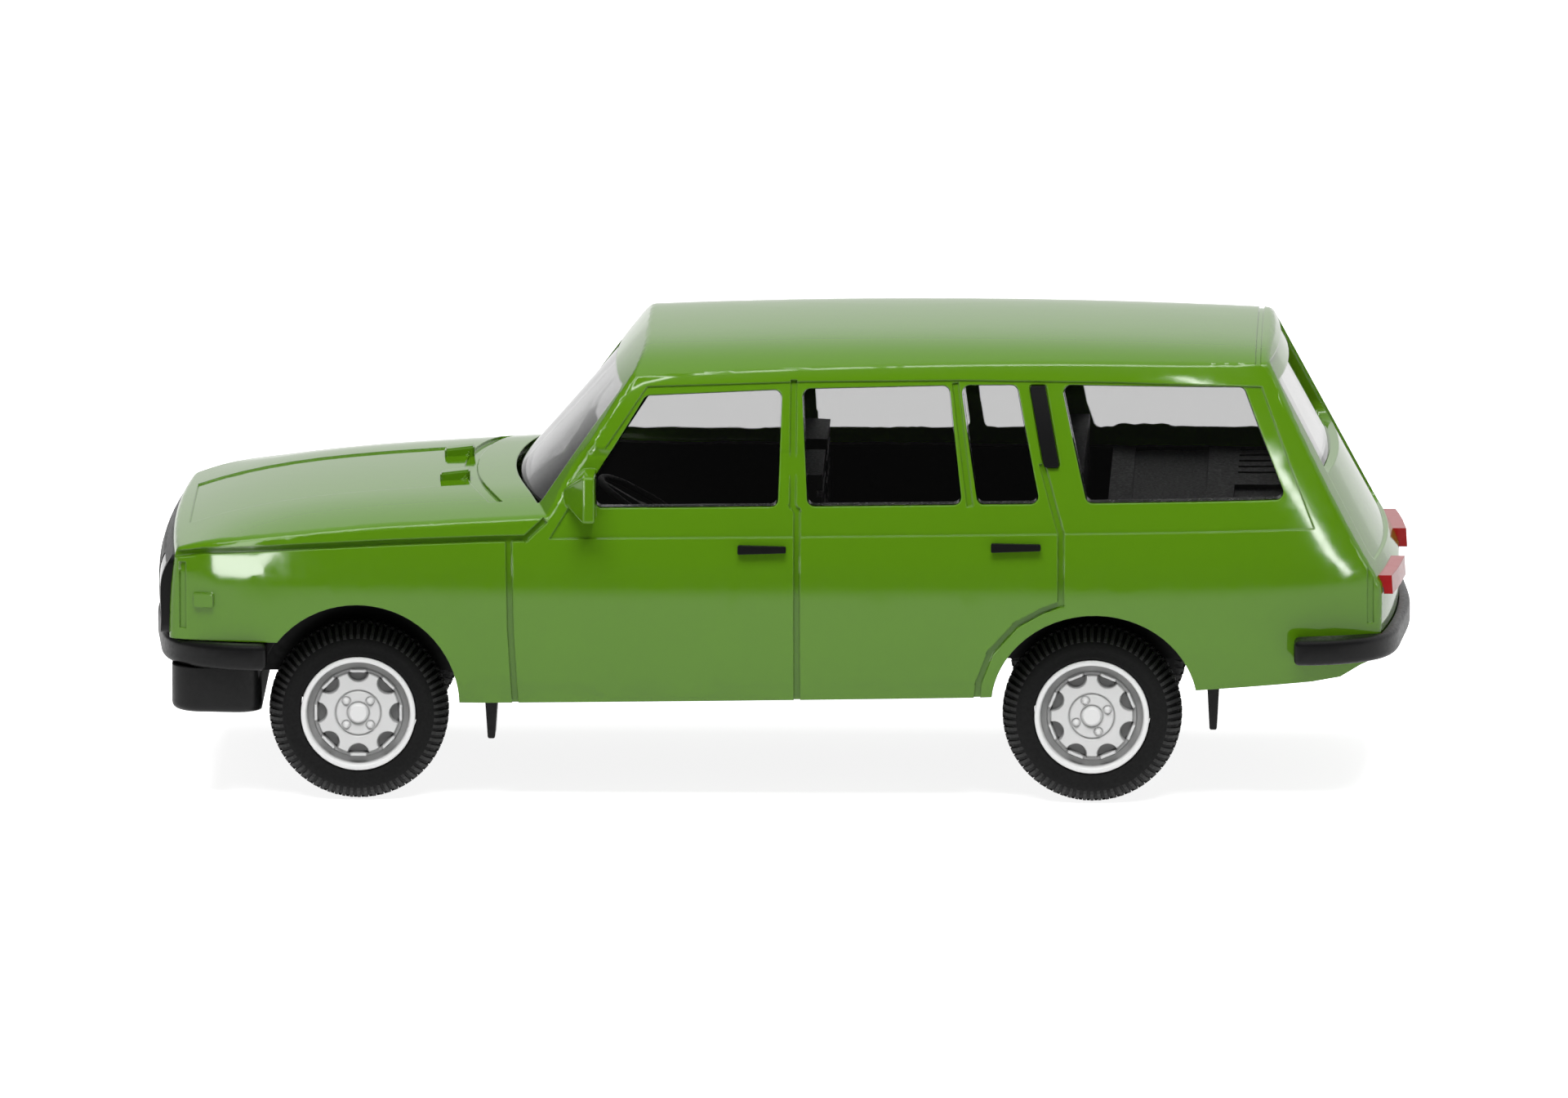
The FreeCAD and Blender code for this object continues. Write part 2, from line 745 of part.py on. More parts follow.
def make_steering_wheel():
    """Rim, hub, three spokes and column, laid well back."""
    lean = math.radians(steering_wheel_lean)
    centre = Vector(steering_wheel_front_x - steering_wheel_radius * math.cos(lean),
                    steering_wheel_y, steering_wheel_height - steering_wheel_radius * math.sin(lean))
    rim = Part.makeTorus(steering_wheel_radius, steering_wheel_grip)
    hub = Part.makeCylinder(steering_hub_radius, steering_hub_depth,
                            Vector(0, 0, -steering_hub_depth))
    spoke = box(0.2, steering_wheel_radius, -steering_spoke_width / 2, steering_spoke_width / 2,
                -steering_spoke_depth, 0)
    spokes = [spoke.rotated(Vector(0, 0, 0), Vector(0, 0, 1), 120 * i) for i in range(3)]
    column = Part.makeCylinder(column_radius, column_length, Vector(0, 0, -column_length))
    wheel = rim.fuse([hub, column] + spokes)
    wheel.rotate(Vector(0, 0, 0), Vector(0, 1, 0), -steering_wheel_lean)
    wheel.translate(centre)
    return wheel


def make_chassis(outside):
    pan_top = pan_bottom + pan_thickness
    carrier_top = front_bumper_bottom + front_bumper_height - 0.1
    middle_start = rear_axle_x + 4.4
    middle_end = front_axle_x - 4.4
    stages = [(tail_x + 2.2, middle_start + 0.4, rear_pan_bottom, rear_pan_bottom + pan_thickness),
              (middle_start, middle_end, pan_bottom, pan_top),
              (middle_end - 0.4, front_bumper_end_x, front_pan_bottom, front_pan_bottom + pan_thickness),
              (front_bumper_end_x - 0.5, beyond, front_bumper_bottom, carrier_top),
              (middle_start, middle_start + 0.6, pan_bottom, rear_pan_bottom + pan_thickness)]
    slab = [box(x0, x1, -beyond, beyond, z0, z1) for x0, x1, z0, z1 in stages]
    pan = outside.common(slab[0].fuse(slab[1:]))
    wheels = ((front_axle_x, front_arch_radius, front_pan_bottom),
              (rear_axle_x, rear_arch_radius, rear_pan_bottom))
    openings = []
    wells = []
    for x, radius, well_bottom in wheels:
        centre = Vector(x, well_side_y, arch_centre_height)
        outer = Part.makeCylinder(radius + well_wall, 8, centre, Vector(0, 1, 0))
        hollow = Part.makeCylinder(radius, 8, centre + Vector(0, well_wall, 0), Vector(0, 1, 0))
        well = outer.cut(hollow).common(box(-beyond, beyond, 0, beyond, well_bottom, beyond))
        wells += both_sides(well.common(outside))
        openings += both_sides(hollow)
    body = pan.fuse(wells).cut(openings)
    for x, radius, well_bottom in wheels:
        clip = box(x - clip_width / 2, x + clip_width / 2, clip_y - clip_length / 2,
                   clip_y + clip_length / 2, clip_bottom, well_bottom + 0.1)
        bore = Part.makeCylinder(axle_radius + axle_play, clip_length,
                                 Vector(x, clip_y - clip_length / 2, tyre_radius), Vector(0, 1, 0))
        mouth = box(x - clip_mouth / 2, x + clip_mouth / 2, clip_y - clip_length / 2,
                    clip_y + clip_length / 2, clip_bottom, tyre_radius)
        body = body.fuse(both_sides(clip.cut([bore, mouth])))
    for x, tip, top in ((front_axle_x - front_flap_behind, front_flap_tip, pan_bottom + 0.1),
                        (rear_axle_x - rear_flap_behind, rear_flap_tip, rear_pan_bottom + 0.1)):
        points = [(x - flap_thickness / 2, top), (x + flap_thickness / 2, top),
                  (x + flap_thickness / 4, tip), (x - flap_thickness / 4, tip)]
        flap = side_prism(points, 0.08, flap_y - flap_width / 2, flap_y + flap_width / 2)
        body = body.fuse(both_sides(flap))
    pad = box(-pad_length / 2, pad_length / 2, -pad_width / 2, pad_width / 2, pan_bottom - pad_drop,
              pan_bottom + 0.1)
    return body.fuse(pad).removeSplitter()


def bumper_outline(end_x, tip_x, inset, bottom, height):
    """A bar bent round one end of the car, as a solid outline from above."""
    ahead = 1 if tip_x > end_x else -1
    half = bumper_half_width - inset
    tip = tip_x - ahead * inset
    points = [(end_x, half), (tip - ahead * 2.6, half - 0.25), (tip - ahead * 1.0, half - 1.5),
              (tip - ahead * 0.28, half - 4.6), (tip, 0)]
    points = points + [(x, -y) for x, y in reversed(points[:-1])]
    curve = Part.BSplineCurve()
    curve.interpolate([Vector(x, y, bottom) for x, y in points])
    chord = Part.makeLine(Vector(end_x, -half, bottom), Vector(end_x, half, bottom))
    face = Part.Face(Part.Wire([curve.toShape(), chord]))
    return face.extrude(Vector(0, 0, height))


def make_bumper(end_x, tip_x, bottom, height, body_block):
    bar = bumper_outline(end_x, tip_x, 0, bottom, height)
    bar = bar.makeFillet(bumper_edge_radius, bar.Edges)
    return bar.cut(body_block)


def make_apron():
    top = front_bumper_bottom - fit_gap
    apron = bumper_outline(apron_end_x, nose_x, apron_inset, apron_bottom, top - apron_bottom)
    picked = [e for e in apron.Edges if e.BoundBox.ZMax < apron_bottom + 0.1]
    apron = apron.makeFillet(0.45, picked)
    apron = apron.cut(box(0, nose_x - 1.8, -7.6, 7.6, pan_bottom - fit_gap, beyond))
    return apron.cut(both_sides(well_space(front_axle_x, front_arch_radius)))


def make_grille():
    half = grille_half_width
    panel = end_prism([(-half, grille_bottom), (half, grille_bottom), (half, grille_top),
                       (-half, grille_top)], 0.35, nose_x - 4, nose_x + 2)
    panel = panel.common(behind_grille(0)).cut(behind_front(grille_inset))
    face = behind_grille(slat_depth)
    cutters = []
    count = int((lamp_top - lamp_bottom) / slat_pitch)
    for i in range(count + 1):
        z = lamp_bottom + slat_pitch * i
        slot = box(nose_x - 4, nose_x + 2, -lamp_inner_y + 0.35, lamp_inner_y - 0.35, z, z + slat_slot)
        cutters.append(slot.cut(face))
    pocket = end_prism([(lamp_inner_y, lamp_bottom), (lamp_outer_y, lamp_bottom),
                        (lamp_outer_y, lamp_top), (lamp_inner_y, lamp_top)], 0.2, nose_x - 4, nose_x + 2)
    pocket = pocket.cut(behind_front(0.1))
    return panel.cut(cutters + both_sides(pocket))


def make_headlamp():
    gap = fit_gap
    lens = end_prism([(lamp_inner_y + gap, lamp_bottom + gap), (lamp_outer_y - gap, lamp_bottom + gap),
                      (lamp_outer_y - gap, lamp_top - gap), (lamp_inner_y + gap, lamp_top - gap)], 0.17,
                     nose_x - 4, nose_x + 2)
    return lens.common(behind_grille(0.02)).cut(behind_front(0.1 - gap))


def make_tail_lamp(body_block):
    lamp = box(tail_x - 2, tail_x + 4, tail_lamp_inner_y, tail_lamp_outer_y, tail_lamp_bottom,
               tail_lamp_top)
    back = ahead_of_tail_panel(-tail_lamp_depth)
    side = left_region(-tail_lamp_stand_out)
    return lamp.common(back).common(side).cut(body_block)


def make_handle(x0, x1, z0, left_clear):
    points = [(x0, z0 + 0.06), (x1, z0), (x1, z0 + 0.34), (x0, z0 + 0.3)]
    grip = side_prism(points, 0.05, 8, 11)
    return grip.common(left_region(-trim_height)).cut(left_clear)


def make_vent(left_clear):
    """A louvre panel that stands a little proud in its shallow pocket."""
    gap = fit_gap
    low, high = vent_outline[0][1] + gap, window_head(vent_outline[1][0]) - gap
    points = [(vent_outline[0][0] - gap, low), (vent_outline[1][0] - gap, high),
              (vent_outline[2][0] + gap, high), (vent_outline[3][0] + gap, low)]
    panel = side_prism(points, 0.1, 6, 11)
    return panel.common(left_region(-trim_height / 4)).cut(left_region(groove_depth - gap))


def make_axle(x):
    half = tyre_face_y - 0.75
    return Part.makeCylinder(axle_radius, 2 * half, Vector(x, -half, tyre_radius), Vector(0, 1, 0))


def revolved(points, x):
    """A wheel part of the left side, from its radius and Y pairs."""
    face = Part.Face(Part.makePolygon([Vector(x, y, tyre_radius + r) for r, y in points + points[:1]]))
    return face.revolve(Vector(x, 0, tyre_radius), Vector(0, 1, 0), 360)


def make_tyre(x):
    inner = tyre_face_y - tyre_width
    seat = rim_radius + fit_gap
    points = [(seat, inner + 0.05), (3.1, inner), (tyre_radius - 0.12, inner + 0.15),
              (tyre_radius, inner + 0.35), (tyre_radius, inner + 1.05),
              (tyre_radius - 0.14, inner + 1.4), (3.0, inner + 1.78), (2.6, tyre_face_y),
              (seat, tyre_face_y)]
    return revolved(points, x)


def make_rim(x, turn):
    back = tyre_face_y - tyre_width
    face = tyre_face_y + 0.05
    disc = face - rim_dish
    hub_end = clip_y + clip_length / 2 + 0.1
    barrel = 0.22
    points = [(axle_radius + 0.02, hub_end), (hub_radius, hub_end), (hub_radius, disc - 0.45),
              (rim_radius - barrel, disc - 0.45), (rim_radius - barrel, back), (rim_radius, back),
              (rim_radius, face), (rim_radius - rim_lip, face), (1.8, disc), (0.98, disc),
              (0.93, disc - 0.06), (0.88, disc), (0.42, disc), (0.37, disc + 0.15), (0, disc + 0.15),
              (0, face - 0.8), (axle_radius + 0.02, face - 0.8)]
    rim = revolved(points, x)
    slots = []
    studs = []
    for i in range(8):
        slot = box(-0.24, 0.24, -0.18, 0.18, -1, 1)
        slot = slot.makeFillet(0.15, [e for e in slot.Edges if abs(e.BoundBox.ZLength) > 1.5])
        slot.rotate(Vector(0, 0, 0), Vector(1, 0, 0), 90)
        slot.translate(Vector(x, disc, tyre_radius + 1.43))
        slot.rotate(Vector(x, 0, tyre_radius), Vector(0, 1, 0), 45 * i + turn)
        slots.append(slot)
    for i in range(4):
        stud = Part.makeCylinder(0.09, 0.1, Vector(x, disc - 0.02, tyre_radius + 0.63), Vector(0, 1, 0))
        stud.rotate(Vector(x, 0, tyre_radius), Vector(0, 1, 0), 90 * i + 45 + turn)
        studs.append(stud)
    return rim.cut(slots).fuse(studs)


def export(name, shape):
    piece = shape.Solids[0].copy()
    if len(shape.Solids) != 1:
        print(name, "has", len(shape.Solids), "solids")
    piece.translate(Vector(-origin_x, 0, 0))
    piece.exportStep("parts/" + name + ".step")


def build():
    outer_block = block(0, 3)
    outer = round_edges(outer_block)
    inner = block(body_wall, 1)
    left_core = left_region(groove_depth)
    body = make_body(outer, inner, left_core)
    body = body.fuse(make_mirrors(inner))
    export("body_shell", body)
    glass_inset = body_wall + fit_gap
    tub_inset = glass_inset + glass_wall + fit_gap
    glass_block = block(glass_inset, 1)
    tub_block = block(tub_inset, 1)
    export("glazing", make_glazing(glass_block, block(glass_inset + glass_wall, 1)))
    export("interior_tub", make_tub(tub_block, block(tub_inset + tub_wall, 1)))
    export("steering_wheel", make_steering_wheel())
    export("chassis", make_chassis(glass_block))
    clear_block = block(-fit_gap, 1)
    export("front_bumper", make_bumper(front_bumper_end_x, nose_x, front_bumper_bottom,
                                       front_bumper_height, inner))
    export("rear_bumper", make_bumper(rear_bumper_end_x, tail_x, rear_bumper_bottom,
                                      rear_bumper_height, clear_block))
    export("front_apron", make_apron())
    export("grille", make_grille())
    lamp = make_headlamp()
    tail_lamp = make_tail_lamp(clear_block)
    left_clear = left_region(-fit_gap)
    vent = make_vent(left_core)
    sided = {"headlamp": lamp, "tail_lamp": tail_lamp, "vent_panel": vent,
             "front_door_handle": make_handle(-2.37, -0.52, 9.95, left_clear),
             "rear_door_handle": make_handle(-12.13, -10.23, 10.04, left_clear)}
    for name, piece in sided.items():
        export(name + "_left", piece)
        export(name + "_right", mirrored(piece))
    for end, x, turn in (("front", front_axle_x, 0), ("rear", rear_axle_x, 20)):
        export("axle_" + end, make_axle(x))
        tyre = make_tyre(x)
        rim = make_rim(x, turn)
        export("tyre_" + end + "_left", tyre)
        export("tyre_" + end + "_right", mirrored(tyre))
        export("rim_" + end + "_left", rim)
        export("rim_" + end + "_right", mirrored(rim))


build()
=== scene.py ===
import math

import bmesh
import bpy
import numpy as np
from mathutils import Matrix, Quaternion, Vector


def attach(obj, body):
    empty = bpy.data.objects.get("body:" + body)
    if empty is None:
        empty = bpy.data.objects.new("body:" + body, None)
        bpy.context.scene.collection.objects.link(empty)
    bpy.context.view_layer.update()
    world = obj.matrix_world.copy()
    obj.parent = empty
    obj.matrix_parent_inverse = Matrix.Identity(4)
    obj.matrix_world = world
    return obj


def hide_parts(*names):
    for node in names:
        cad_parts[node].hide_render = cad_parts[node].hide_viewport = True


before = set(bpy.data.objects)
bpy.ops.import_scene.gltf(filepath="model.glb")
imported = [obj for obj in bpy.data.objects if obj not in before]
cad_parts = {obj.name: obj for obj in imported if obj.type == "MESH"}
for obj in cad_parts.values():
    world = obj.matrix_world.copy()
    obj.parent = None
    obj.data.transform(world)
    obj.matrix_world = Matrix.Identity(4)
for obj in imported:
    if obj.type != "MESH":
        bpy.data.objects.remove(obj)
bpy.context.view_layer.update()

scene = bpy.context.scene


# The view: a long lens from the car's left, a little above it and a little behind its middle,
# as the model was photographed on a white table.

mm = 0.001
field_width = 60.45 * mm
film_width = 36
camera_distance = 1.5
camera_elevation = math.radians(10.3)
camera_yaw = math.radians(1.47)
aim = Vector((0, 0, 8.46 * mm))

lens = bpy.data.cameras.new("camera")
lens.sensor_fit = "HORIZONTAL"
lens.sensor_width = film_width
lens.lens = film_width * camera_distance / field_width
lens.clip_start = 0.1
lens.clip_end = 20
camera = bpy.data.objects.new("camera", lens)
toward = Vector((-math.sin(camera_yaw) * math.cos(camera_elevation),
                 math.cos(camera_yaw) * math.cos(camera_elevation), math.sin(camera_elevation)))
camera.location = aim + toward * camera_distance
camera.rotation_euler = (-toward).to_track_quat("-Z", "Y").to_euler()
scene.collection.objects.link(camera)
scene.camera = camera
scene.view_settings.view_transform = "Standard"


# The table: pale card under the car, with a soft room around it. What the gloss sees is set
# apart from what lights the car: white behind and overhead, dark behind the camera.

def nodes_of(material):
    material.use_nodes = True
    material.node_tree.nodes.clear()
    return material.node_tree.nodes, material.node_tree.links


def graded(tree_nodes, low, high, at_low, at_high):
    """A brightness that runs evenly from one level to the other between two places."""
    grade = tree_nodes.new("ShaderNodeMapRange")
    grade.inputs["From Min"].default_value = low
    grade.inputs["From Max"].default_value = high
    grade.inputs["To Min"].default_value = at_low
    grade.inputs["To Max"].default_value = at_high
    return grade


def seen_directly(tree_nodes, links, light_path):
    """1 where the camera looks straight or only through panes, and 0 after any bounce."""
    bounces = tree_nodes.new("ShaderNodeMath")
    no_bounce = tree_nodes.new("ShaderNodeMath")
    no_bounce.operation = "LESS_THAN"
    no_bounce.inputs[1].default_value = 0.5
    through_panes = tree_nodes.new("ShaderNodeMath")
    through_panes.operation = "MULTIPLY"
    seen = tree_nodes.new("ShaderNodeMath")
    seen.operation = "MAXIMUM"
    links.new(light_path.outputs["Diffuse Depth"], bounces.inputs[0])
    links.new(light_path.outputs["Glossy Depth"], bounces.inputs[1])
    links.new(bounces.outputs[0], no_bounce.inputs[0])
    links.new(light_path.outputs["Is Transmission Ray"], through_panes.inputs[0])
    links.new(no_bounce.outputs[0], through_panes.inputs[1])
    links.new(light_path.outputs["Is Camera Ray"], seen.inputs[0])
    links.new(through_panes.outputs[0], seen.inputs[1])
    return seen.outputs[0]


card_size = 0.9
card_white = (0.93, 0.93, 0.93, 1)
card_glow = 0.86
half = card_size / 2
card_mesh = bpy.data.meshes.new("table_card")
card_mesh.from_pydata([(-half, -half, 0), (half, -half, 0), (half, half, 0), (-half, half, 0)], [],
                      [(0, 1, 2, 3)])
card = bpy.data.objects.new("table_card", card_mesh)
scene.collection.objects.link(card)

# In the gloss the card is bright up to about four centimetres from the car's middle on the
# camera's side, and dark from there on, as the room is around the camera.
card_paint = bpy.data.materials.new("table_card_paint")
tree_nodes, links = nodes_of(card_paint)
matt = tree_nodes.new("ShaderNodeBsdfDiffuse")
matt.inputs["Color"].default_value = card_white
glow = tree_nodes.new("ShaderNodeEmission")
glow.inputs["Color"].default_value = (1, 1, 1, 1)
glow.inputs["Strength"].default_value = card_glow
lit_and_glowing = tree_nodes.new("ShaderNodeAddShader")
light_path = tree_nodes.new("ShaderNodeLightPath")
place = tree_nodes.new("ShaderNodeTexCoord")
split = tree_nodes.new("ShaderNodeSeparateXYZ")
near_edge = graded(tree_nodes, low=0.040, high=0.048, at_low=1.0, at_high=0.05)
mirrored = tree_nodes.new("ShaderNodeEmission")
plain_or_seen = tree_nodes.new("ShaderNodeMixShader")
choose = tree_nodes.new("ShaderNodeMixShader")
surface = tree_nodes.new("ShaderNodeOutputMaterial")
links.new(seen_directly(tree_nodes, links, light_path), plain_or_seen.inputs["Fac"])
links.new(matt.outputs[0], plain_or_seen.inputs[1])
links.new(matt.outputs[0], lit_and_glowing.inputs[0])
links.new(glow.outputs[0], lit_and_glowing.inputs[1])
links.new(lit_and_glowing.outputs[0], plain_or_seen.inputs[2])
links.new(place.outputs["Object"], split.inputs[0])
links.new(split.outputs["Y"], near_edge.inputs["Value"])
links.new(near_edge.outputs["Result"], mirrored.inputs["Strength"])
links.new(light_path.outputs["Is Glossy Ray"], choose.inputs["Fac"])
links.new(plain_or_seen.outputs[0], choose.inputs[1])
links.new(mirrored.outputs[0], choose.inputs[2])
links.new(choose.outputs[0], surface.inputs["Surface"])
card_mesh.materials.append(card_paint)

# The room lights the car evenly and dimly. The camera sees it white, and the gloss sees it
# white away from the camera and overhead, and darker ahead of the car.
room_light = 0.18
room = bpy.data.worlds.new("room")
scene.world = room
room.use_nodes = True
tree_nodes = room.node_tree.nodes
links = room.node_tree.links
tree_nodes.clear()
soft_light = tree_nodes.new("ShaderNodeBackground")
soft_light.inputs["Color"].default_value = (1, 1, 1, 1)
soft_light.inputs["Strength"].default_value = room_light
backdrop = tree_nodes.new("ShaderNodeBackground")
backdrop.inputs["Color"].default_value = (1, 1, 1, 1)
backdrop.inputs["Strength"].default_value = 1.0
mirrored_room = tree_nodes.new("ShaderNodeBackground")
light_path = tree_nodes.new("ShaderNodeLightPath")
direction = tree_nodes.new("ShaderNodeTexCoord")
split = tree_nodes.new("ShaderNodeSeparateXYZ")
toward_camera = graded(tree_nodes, low=-0.15, high=0.35, at_low=1.0, at_high=0.05)
overhead = graded(tree_nodes, low=0.73, high=0.93, at_low=0.0, at_high=0.9)
strongest = tree_nodes.new("ShaderNodeMath")
strongest.operation = "MAXIMUM"
ahead_of_car = graded(tree_nodes, low=0.2, high=0.5, at_low=1.0, at_high=0.12)
darker_ahead = tree_nodes.new("ShaderNodeMath")
darker_ahead.operation = "MULTIPLY"
gloss_or_light = tree_nodes.new("ShaderNodeMixShader")
everything = tree_nodes.new("ShaderNodeMixShader")
world_out = tree_nodes.new("ShaderNodeOutputWorld")
links.new(direction.outputs["Generated"], split.inputs[0])
links.new(split.outputs["Y"], toward_camera.inputs["Value"])
links.new(split.outputs["Z"], overhead.inputs["Value"])
links.new(toward_camera.outputs["Result"], strongest.inputs[0])
links.new(overhead.outputs["Result"], strongest.inputs[1])
links.new(split.outputs["X"], ahead_of_car.inputs["Value"])
links.new(strongest.outputs[0], darker_ahead.inputs[0])
links.new(ahead_of_car.outputs["Result"], darker_ahead.inputs[1])
links.new(darker_ahead.outputs[0], mirrored_room.inputs["Strength"])
links.new(light_path.outputs["Is Glossy Ray"], gloss_or_light.inputs["Fac"])
links.new(soft_light.outputs[0], gloss_or_light.inputs[1])
links.new(mirrored_room.outputs[0], gloss_or_light.inputs[2])
links.new(seen_directly(tree_nodes, links, light_path), everything.inputs["Fac"])
links.new(gloss_or_light.outputs[0], everything.inputs[1])
links.new(backdrop.outputs[0], everything.inputs[2])
links.new(everything.outputs[0], world_out.inputs["Surface"])

# Studio lamps: a key box and an overhead box light the car but show in no gloss. The glint
# boxes do the reverse: they show in the green shell's gloss, and light nothing.

glossy_pieces = bpy.data.collections.new("pieces_with_edge_glints")


def soft_box(name, place, target, width, height, power):
    """A lamp with an even face of that width and height, turned to the target."""
    lamp = bpy.data.lights.new(name, "AREA")
    lamp.shape = "RECTANGLE"
    lamp.size = width
    lamp.size_y = height
    lamp.energy = power
    holder = bpy.data.objects.new(name, lamp)
    holder.location = place
    holder.rotation_euler = (Vector(target) - Vector(place)).to_track_quat("-Z", "Y").to_euler()
    holder.visible_camera = False
    holder.visible_glossy = False
    holder.visible_transmission = False
    scene.collection.objects.link(holder)
    return holder


def glint_box(name, place, target, width, height, power, lean=0.0):
    """A lamp that shows only in the gloss of the glossy pieces, leaning by some degrees."""
    holder = soft_box(name, place, target, width, height, power)
    leaning = Quaternion((0, 0, 1), math.radians(lean))
    holder.rotation_euler = (holder.rotation_euler.to_quaternion() @ leaning).to_euler()
    holder.visible_glossy = True
    holder.visible_diffuse = False
    holder.light_linking.receiver_collection = glossy_pieces


car_middle = (0, 0, 0.008)
near_shoulder = (0, 0.008, 0.012)
soft_box("key_box", (0.02, 0.172, 0.352), car_middle, width=0.30, height=0.16, power=1.63)
soft_box("overhead_box", (0.0, -0.05, 0.40), (0, 0, 0), width=0.40, height=0.30, power=0.3)
glint_box("front_left_box", (0.075, 0.16, 0.09), (0.012, 0.009, 0.010),
          width=0.05, height=0.14, power=0.10)
glint_box("wing_glint_box", (0.038, 0.056, 0.006), (0.021, 0.009, 0.009),
          width=0.022, height=0.011, power=0.010)
glint_box("rear_left_box", (-0.0335, 0.0525, 0.038), (-0.016, 0.0085, 0.038),
          width=0.0017, height=0.078, power=0.007, lean=20)
glint_box("rear_edge_box", (-0.30, 0.12, 0.056), near_shoulder,
          width=0.09, height=0.085, power=0.085)
glint_box("front_edge_box", (0.26, 0.24, 0.060), near_shoulder,
          width=0.06, height=0.090, power=0.065)
glint_box("upper_edge_box", (0.0, 0.19, 0.36), near_shoulder,
          width=0.50, height=0.04, power=0.6)


# Body shell: one glossy moulding in through-coloured green plastic, about half a millimetre
# thick, with its windows and wheel arches open. Its surfaces came from a polished steel mould.

def smooth_copy(node, name, crease):
    """A copy of a frame piece with its triangles joined and shaded smooth between creases."""
    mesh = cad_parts[node].data.copy()
    mesh.name = name
    form = bmesh.new()
    form.from_mesh(mesh)
    bmesh.ops.remove_doubles(form, verts=form.verts, dist=0.0015 * mm)
    for face in form.faces:
        face.smooth = True
    for edge in form.edges:
        edge.smooth = edge.is_manifold and edge.calc_face_angle(0) < math.radians(crease)
    form.to_mesh(mesh)
    form.free()
    mesh.materials.clear()
    piece = bpy.data.objects.new(name, mesh)
    scene.collection.objects.link(piece)
    return piece


# The skins are measured in millimetres from midway between the axles: x to the front, y to the
# car's left, z up. The other numbers in them say how fast each curve falls away.
widest_height = 9.1
half_width = 9.35
nose_turn_x = 17.48
tail_turn_x = -17.0
roof_top = 17.68
roof_middle_x = -8.5
roof_half_width = 7.3
bonnet_rear_x = 8.0
bonnet_rear_height = 11.875
bonnet_flat_half_width = 4.25
bonnet_fall_width = 4.7
bonnet_fall_x = 15.08
screen_foot_x = 8.5
screen_foot_height = 11.5
nose_x = 21.63
tail_corner_x = -24.9
tail_half_width = 7.4
tail_knee_height = 9.05
tailgate_rake = 0.545


def side_y(x, z):
    """Half the car's width: widest at one height and ahead of its middle, drawn in at the ends."""
    below = np.maximum(0.0, widest_height - z)
    above = np.maximum(0.0, z - widest_height)
    section = 0.0211 * below ** 2 + 0.09 * above ** 2 / (above + 0.5) + 0.032 * above ** 2
    plan = 0.0012 * (x - 1.0) ** 2
    nose = 0.05 * np.maximum(0.0, x - nose_turn_x) ** 2
    tail = 0.9 * (np.maximum(0.0, tail_turn_x - x) / 8.0) ** 2.5
    return half_width - section - plan - nose - tail


def roof_z(x, y):
    """Height of the roof: a long flat arch that rolls over at its two sides."""
    across = np.abs(y) / roof_half_width
    return roof_top - 0.0019 * (x - roof_middle_x) ** 2 - 0.3 * across ** 2 - 0.95 * across ** 6


def bonnet_z(x, y):
    """Height of the bonnet: falling forward, faster at the nose, with lower flanks."""
    back = x - bonnet_rear_x
    crown = (bonnet_rear_height - 0.06 * back - 3.5e-5 * np.maximum(0.0, back) ** 4
             - 0.0032 * y ** 2)
    outward = np.maximum(0.0, np.abs(y) - bonnet_flat_half_width) / bonnet_fall_width
    nearness = np.clip((x - bonnet_fall_x) / 5.0, 0.0, 1.0)
    return crown - 0.36 * (1 - nearness ** 2) * outward ** 2.5


def screen_x(y, z):
    """Place of the windscreen plane, which leans back and bows forward, more at its foot."""
    bow = (0.0229 - 0.00284 * (z - 11.4)) * y ** 2
    return screen_foot_x - 0.909 * (z - screen_foot_height) - bow


def tail_edge(y):
    """Place of the tail at its knee, bowed back in the middle."""
    return tail_corner_x - 0.0106 * (tail_half_width ** 2 - y ** 2)


# Height of a place above each skin.
body_skins = {
    "side": lambda x, y, z: np.abs(y) - side_y(x, z),
    "roof": lambda x, y, z: z - roof_z(x, y),
    "bonnet": lambda x, y, z: z - bonnet_z(x, y),
    "windscreen": lambda x, y, z: x - screen_x(y, z),
    "nose": lambda x, y, z: x - (nose_x - 0.0048 * y ** 2 - 0.03 * (z - 6.9) ** 2),
    "tailgate": lambda x, y, z: tail_edge(y) + tailgate_rake * (z - tail_knee_height) - x,
    "tail_panel": lambda x, y, z: tail_edge(y) - 0.3 + 0.03 * (z - 7.8) ** 2 - x,
}
middle_x = 2.06     # where midway between the axles lies in the frame, ahead of its middle


def skin_at(height, x, y, z):
    """How far outside a skin each place is, and the way that the skin faces there."""
    step = 0.01
    slope = np.stack([height(x + step, y, z) - height(x - step, y, z),
                      height(x, y + step, z) - height(x, y - step, z),
                      height(x, y, z + step) - height(x, y, z - step)], axis=1) / (2 * step)
    length = np.linalg.norm(slope, axis=1)
    return height(x, y, z) / length, slope / length[:, None]


